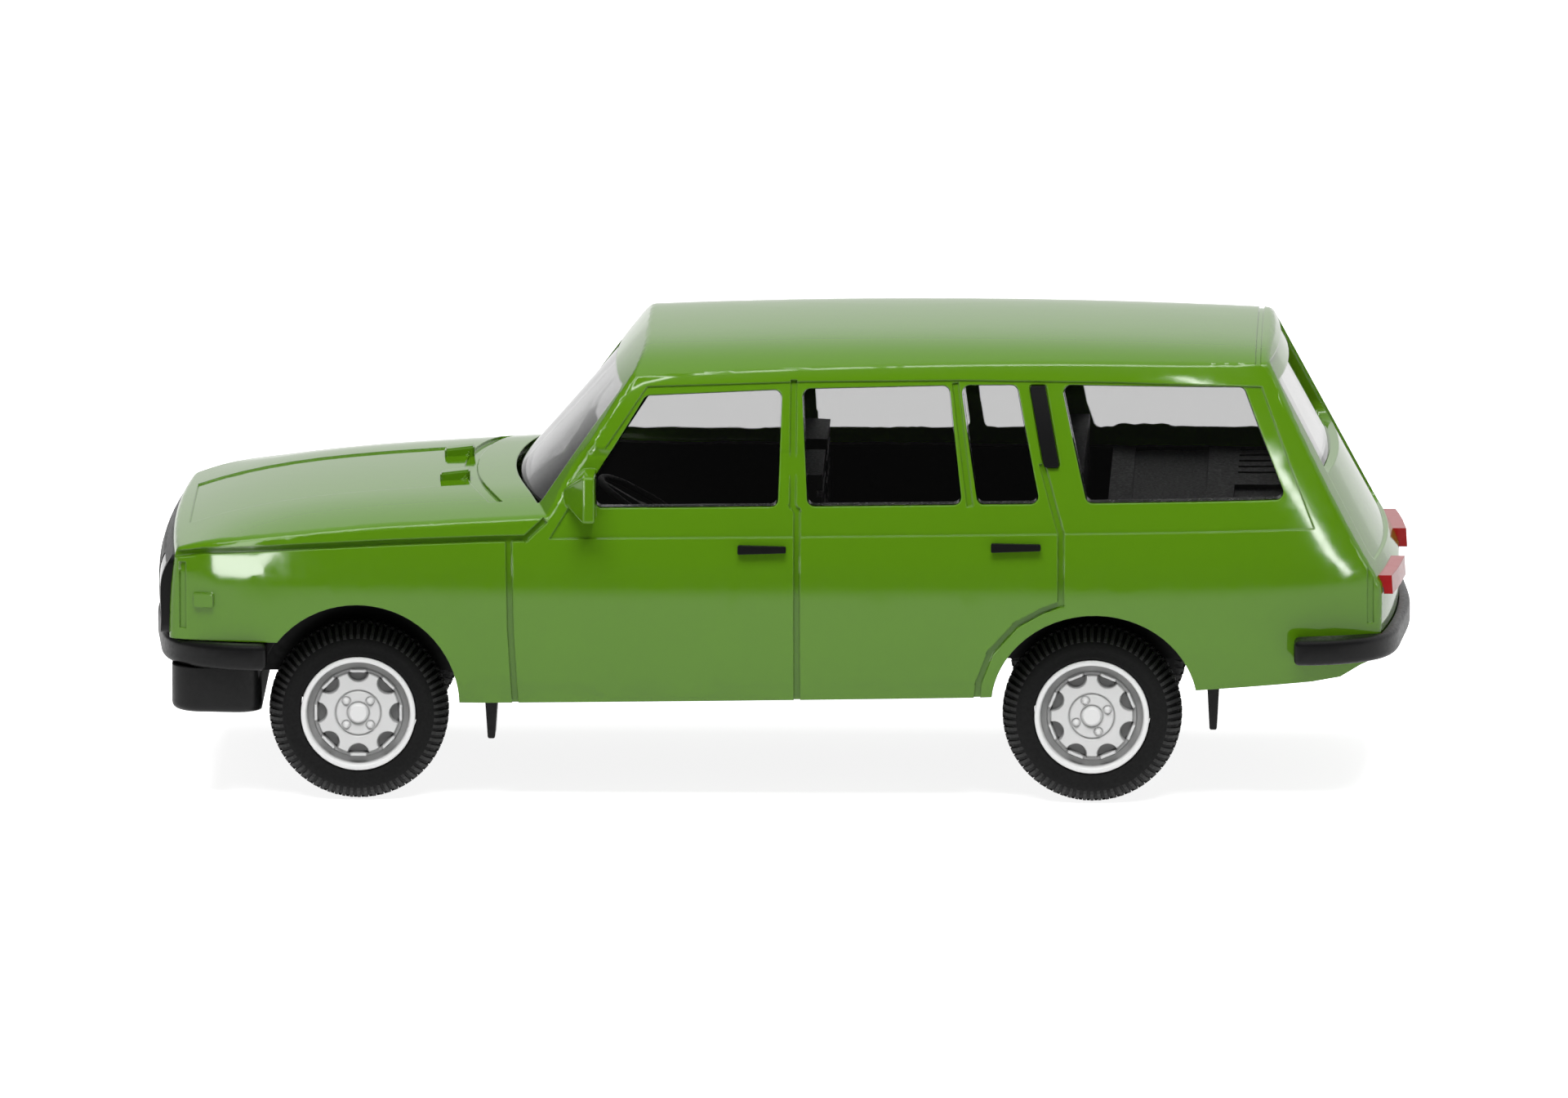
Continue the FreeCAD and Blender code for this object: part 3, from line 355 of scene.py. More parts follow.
def even_shading(piece, depths, closeness, largest_turn):
    """Shades a piece by the body's own curves wherever its faces lie along one of them, at one
    of the depths under it and turned from it by fewer degrees than the largest turn."""
    mesh = piece.data
    corner_count = len(mesh.loops)
    starts = np.empty(len(mesh.polygons), int)
    totals = np.empty(len(mesh.polygons), int)
    mesh.polygons.foreach_get("loop_start", starts)
    mesh.polygons.foreach_get("loop_total", totals)
    face_of_corner = np.repeat(np.arange(len(starts)), totals)
    face_normals = np.empty(3 * len(starts))
    mesh.polygons.foreach_get("normal", face_normals)
    flat = face_normals.reshape(-1, 3)[face_of_corner]
    vertex_of_corner = np.empty(corner_count, int)
    mesh.loops.foreach_get("vertex_index", vertex_of_corner)
    places = np.empty(3 * len(mesh.vertices))
    mesh.vertices.foreach_get("co", places)
    x, y, z = places.reshape(-1, 3)[vertex_of_corner].T / mm
    x = x - middle_x
    chosen = np.zeros((corner_count, 3))
    best = np.full(corner_count, math.cos(math.radians(largest_turn)))
    for height in body_skins.values():
        outside, outward = skin_at(height, x, y, z)
        along = np.min([np.abs(outside + depth) for depth in depths], axis=0) < closeness
        facing = np.einsum("ij,ij->i", outward, flat)
        better = along & (np.abs(facing) > best)
        best[better] = np.abs(facing[better])
        chosen[better] = outward[better] * np.sign(facing[better])[:, None]
    mesh.normals_split_custom_set(chosen.tolist())


def finish_piece(piece, material, slot, body, *replaced):
    """Gives a piece its material and the body that it moves with. The slot is not used."""
    piece.data.materials.clear()
    piece.data.materials.append(material)
    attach(piece, body)
    if replaced:
        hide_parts(*replaced)


def moulding_grain():
    """Tiny waviness and colour drift of moulded plastic, used with other sizes on each finish."""
    group = bpy.data.node_groups.new("moulding_grain", "ShaderNodeTree")
    sockets = group.interface
    sockets.new_socket("Color", in_out="INPUT", socket_type="NodeSocketColor")
    sockets.new_socket("Drift", in_out="INPUT", socket_type="NodeSocketFloat")
    sockets.new_socket("Grain Scale", in_out="INPUT", socket_type="NodeSocketFloat")
    sockets.new_socket("Roughness Low", in_out="INPUT", socket_type="NodeSocketFloat")
    sockets.new_socket("Roughness High", in_out="INPUT", socket_type="NodeSocketFloat")
    sockets.new_socket("Color", in_out="OUTPUT", socket_type="NodeSocketColor")
    sockets.new_socket("Roughness", in_out="OUTPUT", socket_type="NodeSocketFloat")
    sockets.new_socket("Height", in_out="OUTPUT", socket_type="NodeSocketFloat")
    inner = group.nodes
    wire = group.links
    inputs = inner.new("NodeGroupInput")
    outputs = inner.new("NodeGroupOutput")
    place = inner.new("ShaderNodeTexCoord")
    flow = inner.new("ShaderNodeTexNoise")
    flow.inputs["Scale"].default_value = 120
    flow.inputs["Detail"].default_value = 3
    grain = inner.new("ShaderNodeTexNoise")
    grain.inputs["Detail"].default_value = 2
    wire.new(place.outputs["Object"], flow.inputs["Vector"])
    wire.new(place.outputs["Object"], grain.inputs["Vector"])
    wire.new(inputs.outputs["Grain Scale"], grain.inputs["Scale"])
    centred = inner.new("ShaderNodeMath")
    centred.operation = "SUBTRACT"
    centred.inputs[1].default_value = 0.5
    wire.new(flow.outputs["Fac"], centred.inputs[0])
    amount = inner.new("ShaderNodeMath")
    amount.operation = "MULTIPLY_ADD"
    amount.inputs[2].default_value = 1.0
    wire.new(centred.outputs[0], amount.inputs[0])
    wire.new(inputs.outputs["Drift"], amount.inputs[1])
    tint = inner.new("ShaderNodeHueSaturation")
    wire.new(inputs.outputs["Color"], tint.inputs["Color"])
    wire.new(amount.outputs[0], tint.inputs["Value"])
    rough = inner.new("ShaderNodeMapRange")
    rough.inputs["From Min"].default_value = 0.3
    rough.inputs["From Max"].default_value = 0.7
    wire.new(grain.outputs["Fac"], rough.inputs["Value"])
    wire.new(inputs.outputs["Roughness Low"], rough.inputs["To Min"])
    wire.new(inputs.outputs["Roughness High"], rough.inputs["To Max"])
    wire.new(tint.outputs["Color"], outputs.inputs["Color"])
    wire.new(rough.outputs["Result"], outputs.inputs["Roughness"])
    wire.new(grain.outputs["Fac"], outputs.inputs["Height"])
    return group


grain_group = moulding_grain()


def plastic(name, color, drift, grain_scale, roughness, bump, edge=0.05 * mm):
    """A moulded plastic finish: colour, its drift, grains per metre, roughness range, bump and
    the radius at which its corners catch the light."""
    material = bpy.data.materials.new(name)
    parts, wire = nodes_of(material)
    shader = parts.new("ShaderNodeBsdfPrincipled")
    out = parts.new("ShaderNodeOutputMaterial")
    grain = parts.new("ShaderNodeGroup")
    grain.node_tree = grain_group
    grain.inputs["Color"].default_value = (*color, 1)
    grain.inputs["Drift"].default_value = drift
    grain.inputs["Grain Scale"].default_value = grain_scale
    grain.inputs["Roughness Low"].default_value = roughness[0]
    grain.inputs["Roughness High"].default_value = roughness[1]
    relief = parts.new("ShaderNodeBump")
    relief.inputs["Strength"].default_value = bump
    relief.inputs["Distance"].default_value = 0.01 * mm
    wire.new(grain.outputs["Color"], shader.inputs["Base Color"])
    wire.new(grain.outputs["Roughness"], shader.inputs["Roughness"])
    wire.new(grain.outputs["Height"], relief.inputs["Height"])
    soft_edge = parts.new("ShaderNodeBevel")
    soft_edge.samples = 4
    soft_edge.inputs["Radius"].default_value = edge
    wire.new(soft_edge.outputs["Normal"], relief.inputs["Normal"])
    wire.new(relief.outputs["Normal"], shader.inputs["Normal"])
    wire.new(shader.outputs[0], out.inputs["Surface"])
    return material, shader


green = (0.085, 0.215, 0.004)
green_plastic, shader = plastic("gloss_green_plastic", green, drift=0.05, grain_scale=2600,
                                roughness=(0.06, 0.10), bump=0.08, edge=0.08 * mm)
shader.inputs["IOR"].default_value = 1.58
body_skin = smooth_copy("body_shell", "body_skin", 24)

# The middle of the bonnet stands a little proud in the frame. The real one is let in.
panel_drop = 0.13
panel_half_width = 4.3
panel_rear_x, panel_front_x = 12.1, 22.8
panel_lowest, panel_highest = 0.05, 0.09
for corner in body_skin.data.vertices:
    x, y, z = corner.co / mm
    over_bonnet = abs(y) < panel_half_width and panel_rear_x < x < panel_front_x
    if over_bonnet and panel_lowest < body_skins["bonnet"](x - middle_x, y, z) < panel_highest:
        corner.co.z -= panel_drop * mm
form = bmesh.new()
form.from_mesh(body_skin.data)
bmesh.ops.recalc_face_normals(form, faces=form.faces)
form.to_mesh(body_skin.data)
form.free()
shell_depths = (-0.13, -0.07, 0.0, 0.07, 0.12, 0.17, 0.6)
even_shading(body_skin, shell_depths, closeness=0.015, largest_turn=20)
finish_piece(body_skin, green_plastic, "green_plastic", "car", "body_shell")
glossy_pieces.objects.link(body_skin)


# Washer nozzles: two small green blocks moulded on the rear end of the bonnet, in one piece
# with the shell. Their tops fall towards the front, and their edges are soft.

nozzle_ends = ((9.95, 12.04), (11.1, 11.9))     # x of the rear and front end, and height there
nozzle_sides = (2.25, 2.95)
nozzle_foot = 11.5
nozzle_edge = 0.06
for side, hand in (("left", 1), ("right", -1)):
    corners = []
    for x, top in nozzle_ends:
        for y in nozzle_sides:
            for z in (nozzle_foot, top):
                corners.append(Vector((x + middle_x, hand * y, z)) * mm)
    form = bmesh.new()
    bmesh.ops.convex_hull(form, input=[form.verts.new(corner) for corner in corners])
    bmesh.ops.dissolve_limit(form, angle_limit=0.02, verts=form.verts, edges=form.edges)
    bmesh.ops.bevel(form, geom=form.edges, offset=nozzle_edge * mm, segments=2, affect="EDGES")
    bmesh.ops.recalc_face_normals(form, faces=form.faces)
    nozzle_mesh = bpy.data.meshes.new("washer_nozzle_" + side)
    form.to_mesh(nozzle_mesh)
    form.free()
    nozzle = bpy.data.objects.new("washer_nozzle_" + side, nozzle_mesh)
    scene.collection.objects.link(nozzle)
    finish_piece(nozzle, green_plastic, "green_plastic", "car")


# Glazing: one moulding of clear plastic, pushed up inside the shell so that its panes stand in
# every window opening. Light that enters a pane leaves dim at its rim, so the rim is painted
# near-black as painted shade.

def clear_plastic(name, color, roughness, ior):
    """A clear finish that lets most of the lamps' light through to what stands behind it."""
    material = bpy.data.materials.new(name)
    parts, wire = nodes_of(material)
    shader = parts.new("ShaderNodeBsdfPrincipled")
    shader.inputs["Base Color"].default_value = (*color, 1)
    shader.inputs["Roughness"].default_value = roughness
    shader.inputs["IOR"].default_value = ior
    shader.inputs["Transmission Weight"].default_value = 1.0
    lets_light = parts.new("ShaderNodeBsdfTransparent")
    lets_light.inputs["Color"].default_value = (0.85, 0.85, 0.85, 1)
    path = parts.new("ShaderNodeLightPath")
    mix = parts.new("ShaderNodeMixShader")
    out = parts.new("ShaderNodeOutputMaterial")
    wire.new(path.outputs["Is Shadow Ray"], mix.inputs["Fac"])
    wire.new(shader.outputs[0], mix.inputs[1])
    wire.new(lets_light.outputs[0], mix.inputs[2])
    wire.new(mix.outputs[0], out.inputs["Surface"])
    return material


window_plastic = clear_plastic("clear_window_plastic", (0.79, 0.79, 0.79), roughness=0.02,
                               ior=1.45)
pane_edge_painted_shade, shader = plastic("pane_edge_painted_shade", (0.02, 0.021, 0.021), drift=0.1,
                                    grain_scale=6000, roughness=(0.15, 0.3), bump=0.1)
windows = smooth_copy("glazing", "window_moulding", 24)
pane_depths = (0.1, 0.2, 0.4, 0.64, 1.06)
even_shading(windows, pane_depths, closeness=0.03, largest_turn=12)
finish_piece(windows, window_plastic, "clear_glazing", "car", "glazing")
windows.data.materials.append(pane_edge_painted_shade)
pane_edge_lowest, pane_edge_highest = -0.6, -0.05       # height over the body's skin
# The faces across each pane's rim get the near-black painted shade.
for face in windows.data.polygons:
    x, y, z = (np.array([value / mm]) for value in face.center)
    for skin in ("side", "windscreen", "tailgate"):
        outside, outward = skin_at(body_skins[skin], x - middle_x, y, z)
        across_pane = abs(outward[0] @ np.array(face.normal)) < 0.5
        if pane_edge_lowest < outside[0] < pane_edge_highest and across_pane:
            face.material_index = 1


# Cabin: seats, dash, door linings and load deck in one dark grey moulding, pushed up under the
# glazing, with the steering wheel and its column plugged into the dash.

cabin_grey = (0.006, 0.006, 0.006)
cabin_plastic, shader = plastic("cabin_grey_plastic", cabin_grey, drift=0.10, grain_scale=9000,
                                roughness=(0.42, 0.6), bump=0.25)
shader.inputs["Specular IOR Level"].default_value = 0.1
cabin = smooth_copy("interior_tub", "cabin_moulding", 30)
finish_piece(cabin, cabin_plastic, "interior_plastic", "car", "interior_tub")
wheel = smooth_copy("steering_wheel", "steering_wheel_moulding", 40)
finish_piece(wheel, cabin_plastic, "interior_plastic", "car", "steering_wheel")


# Floor pan, bumpers, front panel, louvres and handles: black plastic, less glossy than the
# body, plugged into it. The pan carries the wheel wells, the axle clips and the mud flaps.

trim_black = (0.007, 0.007, 0.0073)
black_plastic, shader = plastic("satin_black_plastic", trim_black, drift=0.12,
                                grain_scale=7000, roughness=(0.30, 0.42), bump=0.2)
shader.inputs["Specular IOR Level"].default_value = 0.3
for node in ("chassis", "front_bumper", "rear_bumper", "grille", "vent_panel_left",
             "vent_panel_right", "front_door_handle_left", "front_door_handle_right",
             "rear_door_handle_left", "rear_door_handle_right"):
    trim = smooth_copy(node, node + "_trim", 30)
    finish_piece(trim, black_plastic, "black_plastic", "car", node)


# Apron: the boxy tray under the front bumper, moulded in the same black plastic with soft
# corners and a soft lower edge. It is shown whole, without the hollow behind its front wall.

def rounded_plan(corners, radius, steps):
    """A flat outline with each of its corners turned into an arc, but for the blunt ones."""
    plan = []
    for number, corner in enumerate(corners):
        here = Vector(corner)
        before = (Vector(corners[number - 1]) - here).normalized()
        after = (Vector(corners[(number + 1) % len(corners)]) - here).normalized()
        half_angle = before.angle(after) / 2
        if half_angle > math.radians(80):
            plan.append(here)
            continue
        centre = here + (before + after).normalized() * radius / math.sin(half_angle)
        start = here + before * radius / math.tan(half_angle) - centre
        end = here + after * radius / math.tan(half_angle) - centre
        for step in range(steps + 1):
            plan.append(centre + start.slerp(end, step / steps))
    return plan


apron_bottom = 3.5
apron_top = 5.26
apron_edge = 0.3
apron_corner = 0.9
corner_steps = 8
edge_steps = 5
apron_back_x, apron_length, apron_half_width = 17.9, 3.4, 8.5
apron_plan = rounded_plan([(apron_back_x, -8.55), (21.13, -8.3), (21.33, 0.0), (21.13, 8.3),
                           (apron_back_x, 8.55)], apron_corner, corner_steps)
apron_rings = []
for level in range(edge_steps + 1):
    angle = level / edge_steps * math.pi / 2
    inset = apron_edge * (1 - math.sin(angle))
    apron_rings.append((apron_bottom + apron_edge * (1 - math.cos(angle)), inset))
apron_rings.append((apron_top, 0.0))
form = bmesh.new()
rings = []
for z, inset in apron_rings:
    ring = []
    for place in apron_plan:
        x = (place.x - apron_back_x) * (1 - inset / apron_length) + apron_back_x
        y = place.y * (1 - inset / apron_half_width)
        ring.append(form.verts.new(Vector((x + middle_x, y, z)) * mm))
    rings.append(ring)
for low, high in zip(rings, rings[1:]):
    for one in range(len(low)):
        two = (one + 1) % len(low)
        form.faces.new((low[one], low[two], high[two], high[one]))
form.faces.new(rings[0][::-1])
form.faces.new(rings[-1])
bmesh.ops.recalc_face_normals(form, faces=form.faces)
for face in form.faces:
    face.smooth = len(face.verts) == 4
for edge in form.edges:
    edge.smooth = edge.calc_face_angle(0) < math.radians(35)
apron_mesh = bpy.data.meshes.new("front_apron_tray")
form.to_mesh(apron_mesh)
form.free()
apron = bpy.data.objects.new("front_apron_tray", apron_mesh)
scene.collection.objects.link(apron)
finish_piece(apron, black_plastic, "black_plastic", "car", "front_apron")


# Lamps: clear blocks set in the front panel, and red blocks of through-coloured plastic plugged
# into the tail. The red ones are set lower and deeper, and reach further in, than in the frame.

lamp_clear = clear_plastic("headlamp_plastic", (0.9, 0.91, 0.92), roughness=0.05, ior=1.49)
red_lens, shader = plastic("red_lamp_plastic", (0.33, 0.006, 0.008), drift=0.05,
                           grain_scale=3000, roughness=(0.12, 0.2), bump=0.1)
lens_depth = 0.38
lens_inner_y = 2.95
frame_lens_inner_y = 4.0        # the frame's own inner ends lie inside this
lens_foot, frame_lens_foot, lens_height_share = 8.13, 8.3, 0.9
for side in ("left", "right"):
    front_lamp = smooth_copy("headlamp_" + side, "headlamp_lens_" + side, 30)
    finish_piece(front_lamp, lamp_clear, "lamp_lens", "car", "headlamp_" + side)
    rear_lamp = smooth_copy("tail_lamp_" + side, "tail_lamp_lens_" + side, 30)
    for corner in rear_lamp.data.vertices:
        x, y, z = corner.co / mm
        stand_out = body_skins["tail_panel"](x - middle_x, y, z)
        across = math.copysign(lens_inner_y, y) if abs(y) < frame_lens_inner_y else y
        forward = max(0.0, stand_out - lens_depth) + tail_edge(across) - tail_edge(y)
        height = lens_foot + (z - frame_lens_foot) * lens_height_share
        corner.co = Vector((x + forward, across, height)) * mm
    finish_piece(rear_lamp, red_lens, "red_lens", "car", "tail_lamp_" + side)


# Rims: silver-painted plastic, pushed on the steel axles. The face has a deep dish with eight
# blind pockets, a hub ring, four studs and a cap. They stand turned as the real ones stood.

wheel_radius = 3.45
axle_places = {"front": 16.14, "rear": -12.02}
wheel_turn = {"front": 0.0, "rear": math.radians(-22.5)}
rim_radius = 2.2
rim_face_y = 8.25
rim_steps = 84
rim_turns = 256


def part_of_turn(count):
    """The angles of so many even steps round an axle."""
    return np.arange(count) * 2 * math.pi / count


def ramp(low, high, value):
    """A smooth rise from 0 at low to 1 at high."""
    share = np.clip((value - low) / (high - low), 0, 1)
    return share * share * (3 - 2 * share)


def groove(place, value, width):
    """1 in the middle of a round groove, and nearly 0 a width or two away."""
    return np.exp(-((value - place) / width) ** 2)


def ring_mesh(name, radii, sides, axle_x, hand):
    """A closed mesh from rings about an axle: radii per ring, places across per ring and angle.
    Its recess attribute is how far each place lies from the wheel's outer face, in millimetres."""
    ring_count, turn_count = sides.shape
    angle = part_of_turn(turn_count)
    x = axle_x + np.outer(radii, np.sin(angle))
    z = wheel_radius + np.outer(radii, np.cos(angle))
    places = np.stack([x, hand * sides, z], axis=2).reshape(-1, 3) * mm
    faces = []
    for ring in range(ring_count - 1):
        for turn in range(turn_count):
            after = (turn + 1) % turn_count
            low, high = ring * turn_count, (ring + 1) * turn_count
            faces.append((low + turn, low + after, high + after, high + turn))
    mesh = bpy.data.meshes.new(name)
    mesh.from_pydata(places.tolist(), [], faces)
    recess = mesh.attributes.new("recess", "FLOAT", "POINT")
    recess.data.foreach_set("value", rim_face_y - sides.ravel())
    form = bmesh.new()
    form.from_mesh(mesh)
    bmesh.ops.remove_doubles(form, verts=form.verts, dist=0.0001 * mm)
    bmesh.ops.recalc_face_normals(form, faces=form.faces)
    for face in form.faces:
        face.smooth = True
    for edge in form.edges:
        edge.smooth = edge.is_manifold and edge.calc_face_angle(0) < math.radians(42)
    form.to_mesh(mesh)
    form.free()
    piece = bpy.data.objects.new(name, mesh)
    scene.collection.objects.link(piece)
    return piece


dish_depth = 0.42
lip_radius, lip_roll, lip_half_width = 2.1, 0.05, 0.1
ledge_height, plate_height = 0.07, 0.13
pocket_place, pocket_depth = 1.6, 0.24
bar_place, bar_height = 1.63, 0.21
stud_place, stud_height, stud_groove = 0.65, 0.1, 0.06
hub_ring_radius, hub_ring_depth = 0.87, 0.08
cap_height, cap_groove = 0.13, 0.07


def rim_relief(radius, angle):
    """Height of the rim's face over its outermost plane: a rolled lip, a plate with a ledge round
    it, pockets with a bar outside each, studs and a cap. All are in millimetres."""
    lip = dish_depth * ramp(1.93, 2.02, radius)
    lip = lip - lip_roll * ((radius - lip_radius) / lip_half_width) ** 4 * (radius > 2)
    plate = ledge_height * ramp(1.74, 1.70, radius) + plate_height * ramp(1.62, 1.54, radius)
    to_pocket = (angle + math.pi / 8) % (math.pi / 4) - math.pi / 8
    across = radius * np.sin(to_pocket)
    outward = radius * np.cos(to_pocket)
    pocket = ramp(0.43, 0.35, np.hypot(across, outward - pocket_place))
    pocket = pocket_depth * pocket * ramp(1.58, 1.54, outward)
    bar = ramp(0.35, 0.29, np.abs(across)) * ramp(0.08, 0.04, np.abs(outward - bar_place))
    to_stud = (angle % (math.pi / 2)) - math.pi / 4
    from_stud = np.hypot(radius * np.cos(to_stud) - stud_place, radius * np.sin(to_stud))
    studs = stud_height * ramp(0.13, 0.06, from_stud) - stud_groove * groove(0.16, from_stud, 0.03)
    hub_ring = hub_ring_depth * groove(hub_ring_radius, radius, 0.04)
    cap = cap_height * ramp(0.38, 0.30, radius) - cap_groove * groove(0.42, radius, 0.035)
    return (lip - dish_depth + plate * (1 - bar) + bar_height * bar - pocket - hub_ring + studs
            + cap)


# The silver's grey follows the recess: lightest on the outer face, darker down the dish and darkest
# in the pockets, as painted shade.
silver = (0.66, 0.66, 0.66)
rim_painted_shade = ((0.0, 0.88), (0.20, 0.74), (0.23, 0.70), (0.30, 0.40), (0.42, 0.32), (0.47, 0.13))
rim_paint, shader = plastic("silver_rim_paint", silver, drift=0.06, grain_scale=14000,
                            roughness=(0.34, 0.5), bump=0.3, edge=0.02 * mm)
shader.inputs["Metallic"].default_value = 0.2
parts = rim_paint.node_tree.nodes
wire = rim_paint.node_tree.links
recess = parts.new("ShaderNodeAttribute")
recess.attribute_name = "recess"
# Painted shade: the deeper a place lies in the rim's face, the darker its grey.
recess_shade = parts.new("ShaderNodeValToRGB")
for place, grey in rim_painted_shade:
    stop = recess_shade.color_ramp.elements.new(place)
    stop.color = (grey, grey, grey, 1)
recess_shade.color_ramp.elements.remove(recess_shade.color_ramp.elements[0])
recess_shade.color_ramp.elements.remove(recess_shade.color_ramp.elements[-1])
grain = next(part for part in parts if part.type == "GROUP")
wire.new(recess.outputs["Fac"], recess_shade.inputs["Fac"])
wire.new(recess_shade.outputs["Color"], grain.inputs["Color"])
axle_steel, shader = plastic("bright_axle_steel", (0.5, 0.5, 0.5), drift=0.05,
                             grain_scale=9000, roughness=(0.22, 0.3), bump=0.1)
shader.inputs["Metallic"].default_value = 1.0
rim_back = [(rim_radius, 8.15), (rim_radius, 6.3), (1.98, 6.3), (1.98, 7.45), (0.8, 7.45),
            (0.8, 5.2), (0.52, 5.2), (0.52, 7.45), (0.0, 7.45)]      # radius and place across
for end in ("front", "rear"):
    for side, hand in (("left", 1), ("right", -1)):
        angle = part_of_turn(rim_turns) - wheel_turn[end]
        front_radii = np.linspace(0.0, rim_radius, rim_steps)
        front_sides = rim_face_y + rim_relief(front_radii[:, None], angle[None, :])
        back_radii = np.array([radius for radius, y in rim_back])
        back_sides = np.repeat([[y] for radius, y in rim_back], rim_turns, axis=1)
        rim = ring_mesh(f"rim_face_{end}_{side}", np.concatenate([front_radii, back_radii]),
                        np.concatenate([front_sides, back_sides]), axle_places[end], hand)
        finish_piece(rim, rim_paint, "silver_rim", end + "_wheelset", f"rim_{end}_{side}")
    axle = smooth_copy("axle_" + end, "axle_pin_" + end, 30)
    finish_piece(axle, axle_steel, "axle_steel", end + "_wheelset", "axle_" + end)


# Tyres: soft black plastic pushed on the rims, with a plain side, a bead at the rim and a tread
# of seventy-two short lugs round each shoulder and as many blocks round the middle.

tyre_black = (0.010, 0.010, 0.0102)
tyre_rubber, shader = plastic("tyre_rubber", tyre_black, drift=0.15, grain_scale=9000,
                              roughness=(0.62, 0.8), bump=0.4, edge=0.02 * mm)
shader.inputs["Specular IOR Level"].default_value = 0.2
# The lugs are a lighter grey than the tyre's side: a painted highlight on the tread.
lug_highlight_grey = (0.032, 0.032, 0.032)
lug_painted_highlight_rubber, shader = plastic("lug_rubber_painted_highlight", lug_highlight_grey, drift=0.2, grain_scale=9000,
                             roughness=(0.55, 0.75), bump=0.4, edge=0.02 * mm)
shader.inputs["Specular IOR Level"].default_value = 0.25
tyre_turns = 144
# Radius and place across of the tyre's section, and of the lugs that stand on it.
tyre_profile = [(2.235, 8.15), (2.27, 8.19), (2.36, 8.19), (2.40, 8.16), (2.62, 8.17), (2.80, 8.13),
                (2.93, 8.06), (3.02, 7.96), (3.16, 7.72), (3.30, 7.45), (3.34, 7.30), (3.34, 6.70),
                (3.28, 6.52), (3.10, 6.34), (2.60, 6.30), (2.235, 6.35), (2.235, 8.15)]
lug_count = 72
lug_width = 0.17
lug_height = 0.14
shoulder_lug = [(2.94, 8.07), (3.06, 7.99), (3.22, 7.76), (3.38, 7.47), (3.44, 7.24)]
middle_lug = [(3.445, 7.16), (3.45, 7.0), (3.45, 6.9), (3.445, 6.82)]
inner_lug = [(3.44, 6.74), (3.38, 6.56), (3.24, 6.40), (3.12, 6.33)]


def lug_mesh(name, hand):
    """One lug of each row, standing on the tyre at the top of the wheel, about the axle."""
    form = bmesh.new()
    for row, shift in ((shoulder_lug, 0.0), (middle_lug, 0.5), (inner_lug, 0.0)):
        turn = shift * 2 * math.pi / lug_count
        sections = []
        for radius, y in row:
            foot = radius - lug_height
            corners = []
            for across, up in ((-0.5, foot), (-0.36, radius), (0.36, radius), (0.5, foot)):
                along = across * lug_width
                place = Vector((along * math.cos(turn) + up * math.sin(turn), hand * y,
                                up * math.cos(turn) - along * math.sin(turn)))
                corners.append(form.verts.new(place * mm))
            sections.append(corners)
        for near, far in zip(sections, sections[1:]):
            for one in range(4):
                two = (one + 1) % 4
                form.faces.new((near[one], near[two], far[two], far[one]))
        form.faces.new(sections[0])
        form.faces.new(sections[-1][::-1])
    bmesh.ops.recalc_face_normals(form, faces=form.faces)
    mesh = bpy.data.meshes.new(name)
    form.to_mesh(mesh)
    form.free()
    return mesh


# The tree repeats one lug of each row round an axle as often as it is told, and moves the ring
# to its wheel's place.
ring_of_lugs = bpy.data.node_groups.new("ring_of_lugs", "GeometryNodeTree")
sockets = ring_of_lugs.interface
sockets.new_socket("Lug", in_out="INPUT", socket_type="NodeSocketGeometry")
count_socket = sockets.new_socket("Count", in_out="INPUT", socket_type="NodeSocketInt")
place_socket = sockets.new_socket("Axle Place", in_out="INPUT", socket_type="NodeSocketVector")
paint_socket = sockets.new_socket("Material", in_out="INPUT", socket_type="NodeSocketMaterial")
sockets.new_socket("Lugs", in_out="OUTPUT", socket_type="NodeSocketGeometry")
parts = ring_of_lugs.nodes
wire = ring_of_lugs.links
inputs = parts.new("NodeGroupInput")
outputs = parts.new("NodeGroupOutput")
spots = parts.new("GeometryNodePoints")
index = parts.new("GeometryNodeInputIndex")
one_step = parts.new("ShaderNodeMath")
one_step.operation = "DIVIDE"
one_step.inputs[0].default_value = 2 * math.pi
turned = parts.new("ShaderNodeMath")
turned.operation = "MULTIPLY"
about_axle = parts.new("ShaderNodeCombineXYZ")
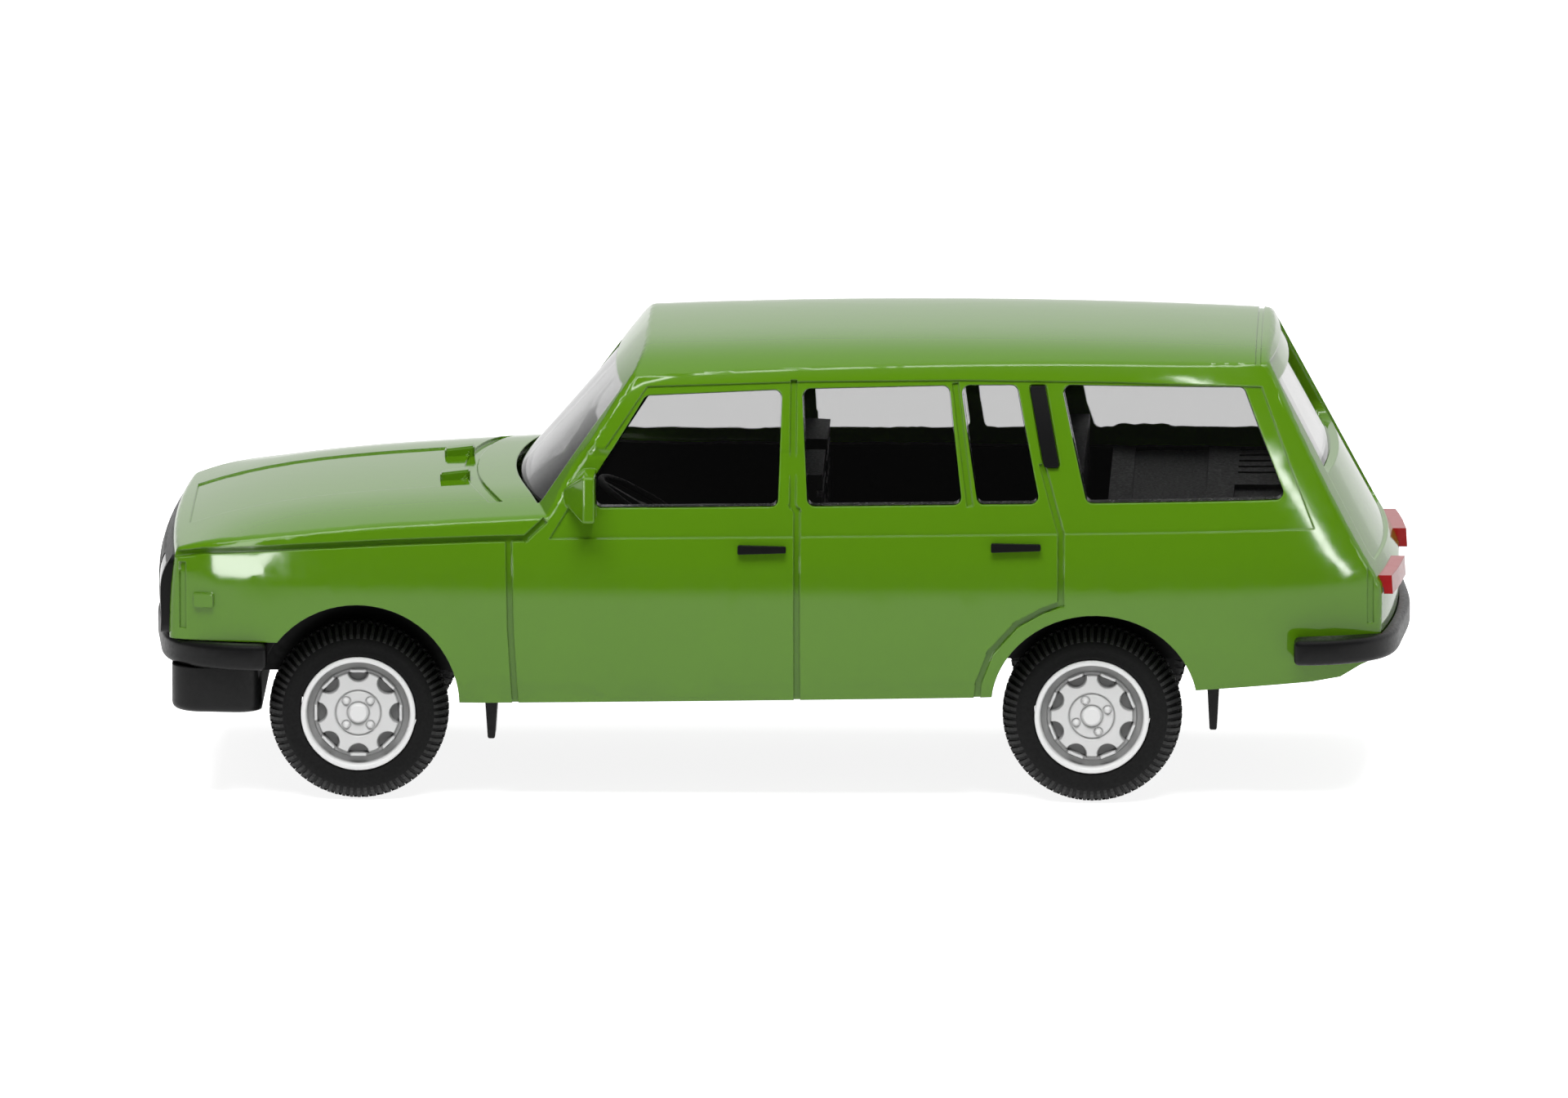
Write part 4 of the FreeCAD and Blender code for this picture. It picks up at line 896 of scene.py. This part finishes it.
copies = parts.new("GeometryNodeInstanceOnPoints")
real = parts.new("GeometryNodeRealizeInstances")
shift = parts.new("GeometryNodeTransform")
paint = parts.new("GeometryNodeSetMaterial")
wire.new(inputs.outputs["Count"], spots.inputs["Count"])
wire.new(inputs.outputs["Count"], one_step.inputs[1])
wire.new(one_step.outputs[0], turned.inputs[0])
wire.new(index.outputs[0], turned.inputs[1])
wire.new(turned.outputs[0], about_axle.inputs["Y"])
wire.new(spots.outputs[0], copies.inputs["Points"])
wire.new(inputs.outputs["Lug"], copies.inputs["Instance"])
wire.new(about_axle.outputs[0], copies.inputs["Rotation"])
wire.new(copies.outputs["Instances"], real.inputs["Geometry"])
wire.new(real.outputs["Geometry"], shift.inputs["Geometry"])
wire.new(inputs.outputs["Axle Place"], shift.inputs["Translation"])
wire.new(shift.outputs["Geometry"], paint.inputs["Geometry"])
wire.new(inputs.outputs["Material"], paint.inputs["Material"])
wire.new(paint.outputs["Geometry"], outputs.inputs["Lugs"])

for end in ("front", "rear"):
    for side, hand in (("left", 1), ("right", -1)):
        radii = np.array([radius for radius, y in tyre_profile])
        sides = np.repeat([[y] for radius, y in tyre_profile], tyre_turns, axis=1)
        carcass = ring_mesh(f"tyre_side_{end}_{side}", radii, sides, axle_places[end], hand)
        finish_piece(carcass, tyre_rubber, "tyre_rubber", end + "_wheelset", f"tyre_{end}_{side}")
        name = f"tyre_lugs_{end}_{side}"
        lugs = bpy.data.objects.new(name, lug_mesh(name + "_one", hand))
        scene.collection.objects.link(lugs)
        rows = lugs.modifiers.new("rows", "NODES")
        rows.node_group = ring_of_lugs
        rows[count_socket.identifier] = lug_count
        rows[place_socket.identifier] = (axle_places[end] * mm, 0.0, wheel_radius * mm)
        rows[paint_socket.identifier] = lug_painted_highlight_rubber
        with_rows = lugs.evaluated_get(bpy.context.evaluated_depsgraph_get())
        finished = bpy.data.meshes.new_from_object(with_rows)
        lugs.modifiers.clear()
        lugs.data = finished
        finish_piece(lugs, lug_painted_highlight_rubber, "tyre_rubber", end + "_wheelset")
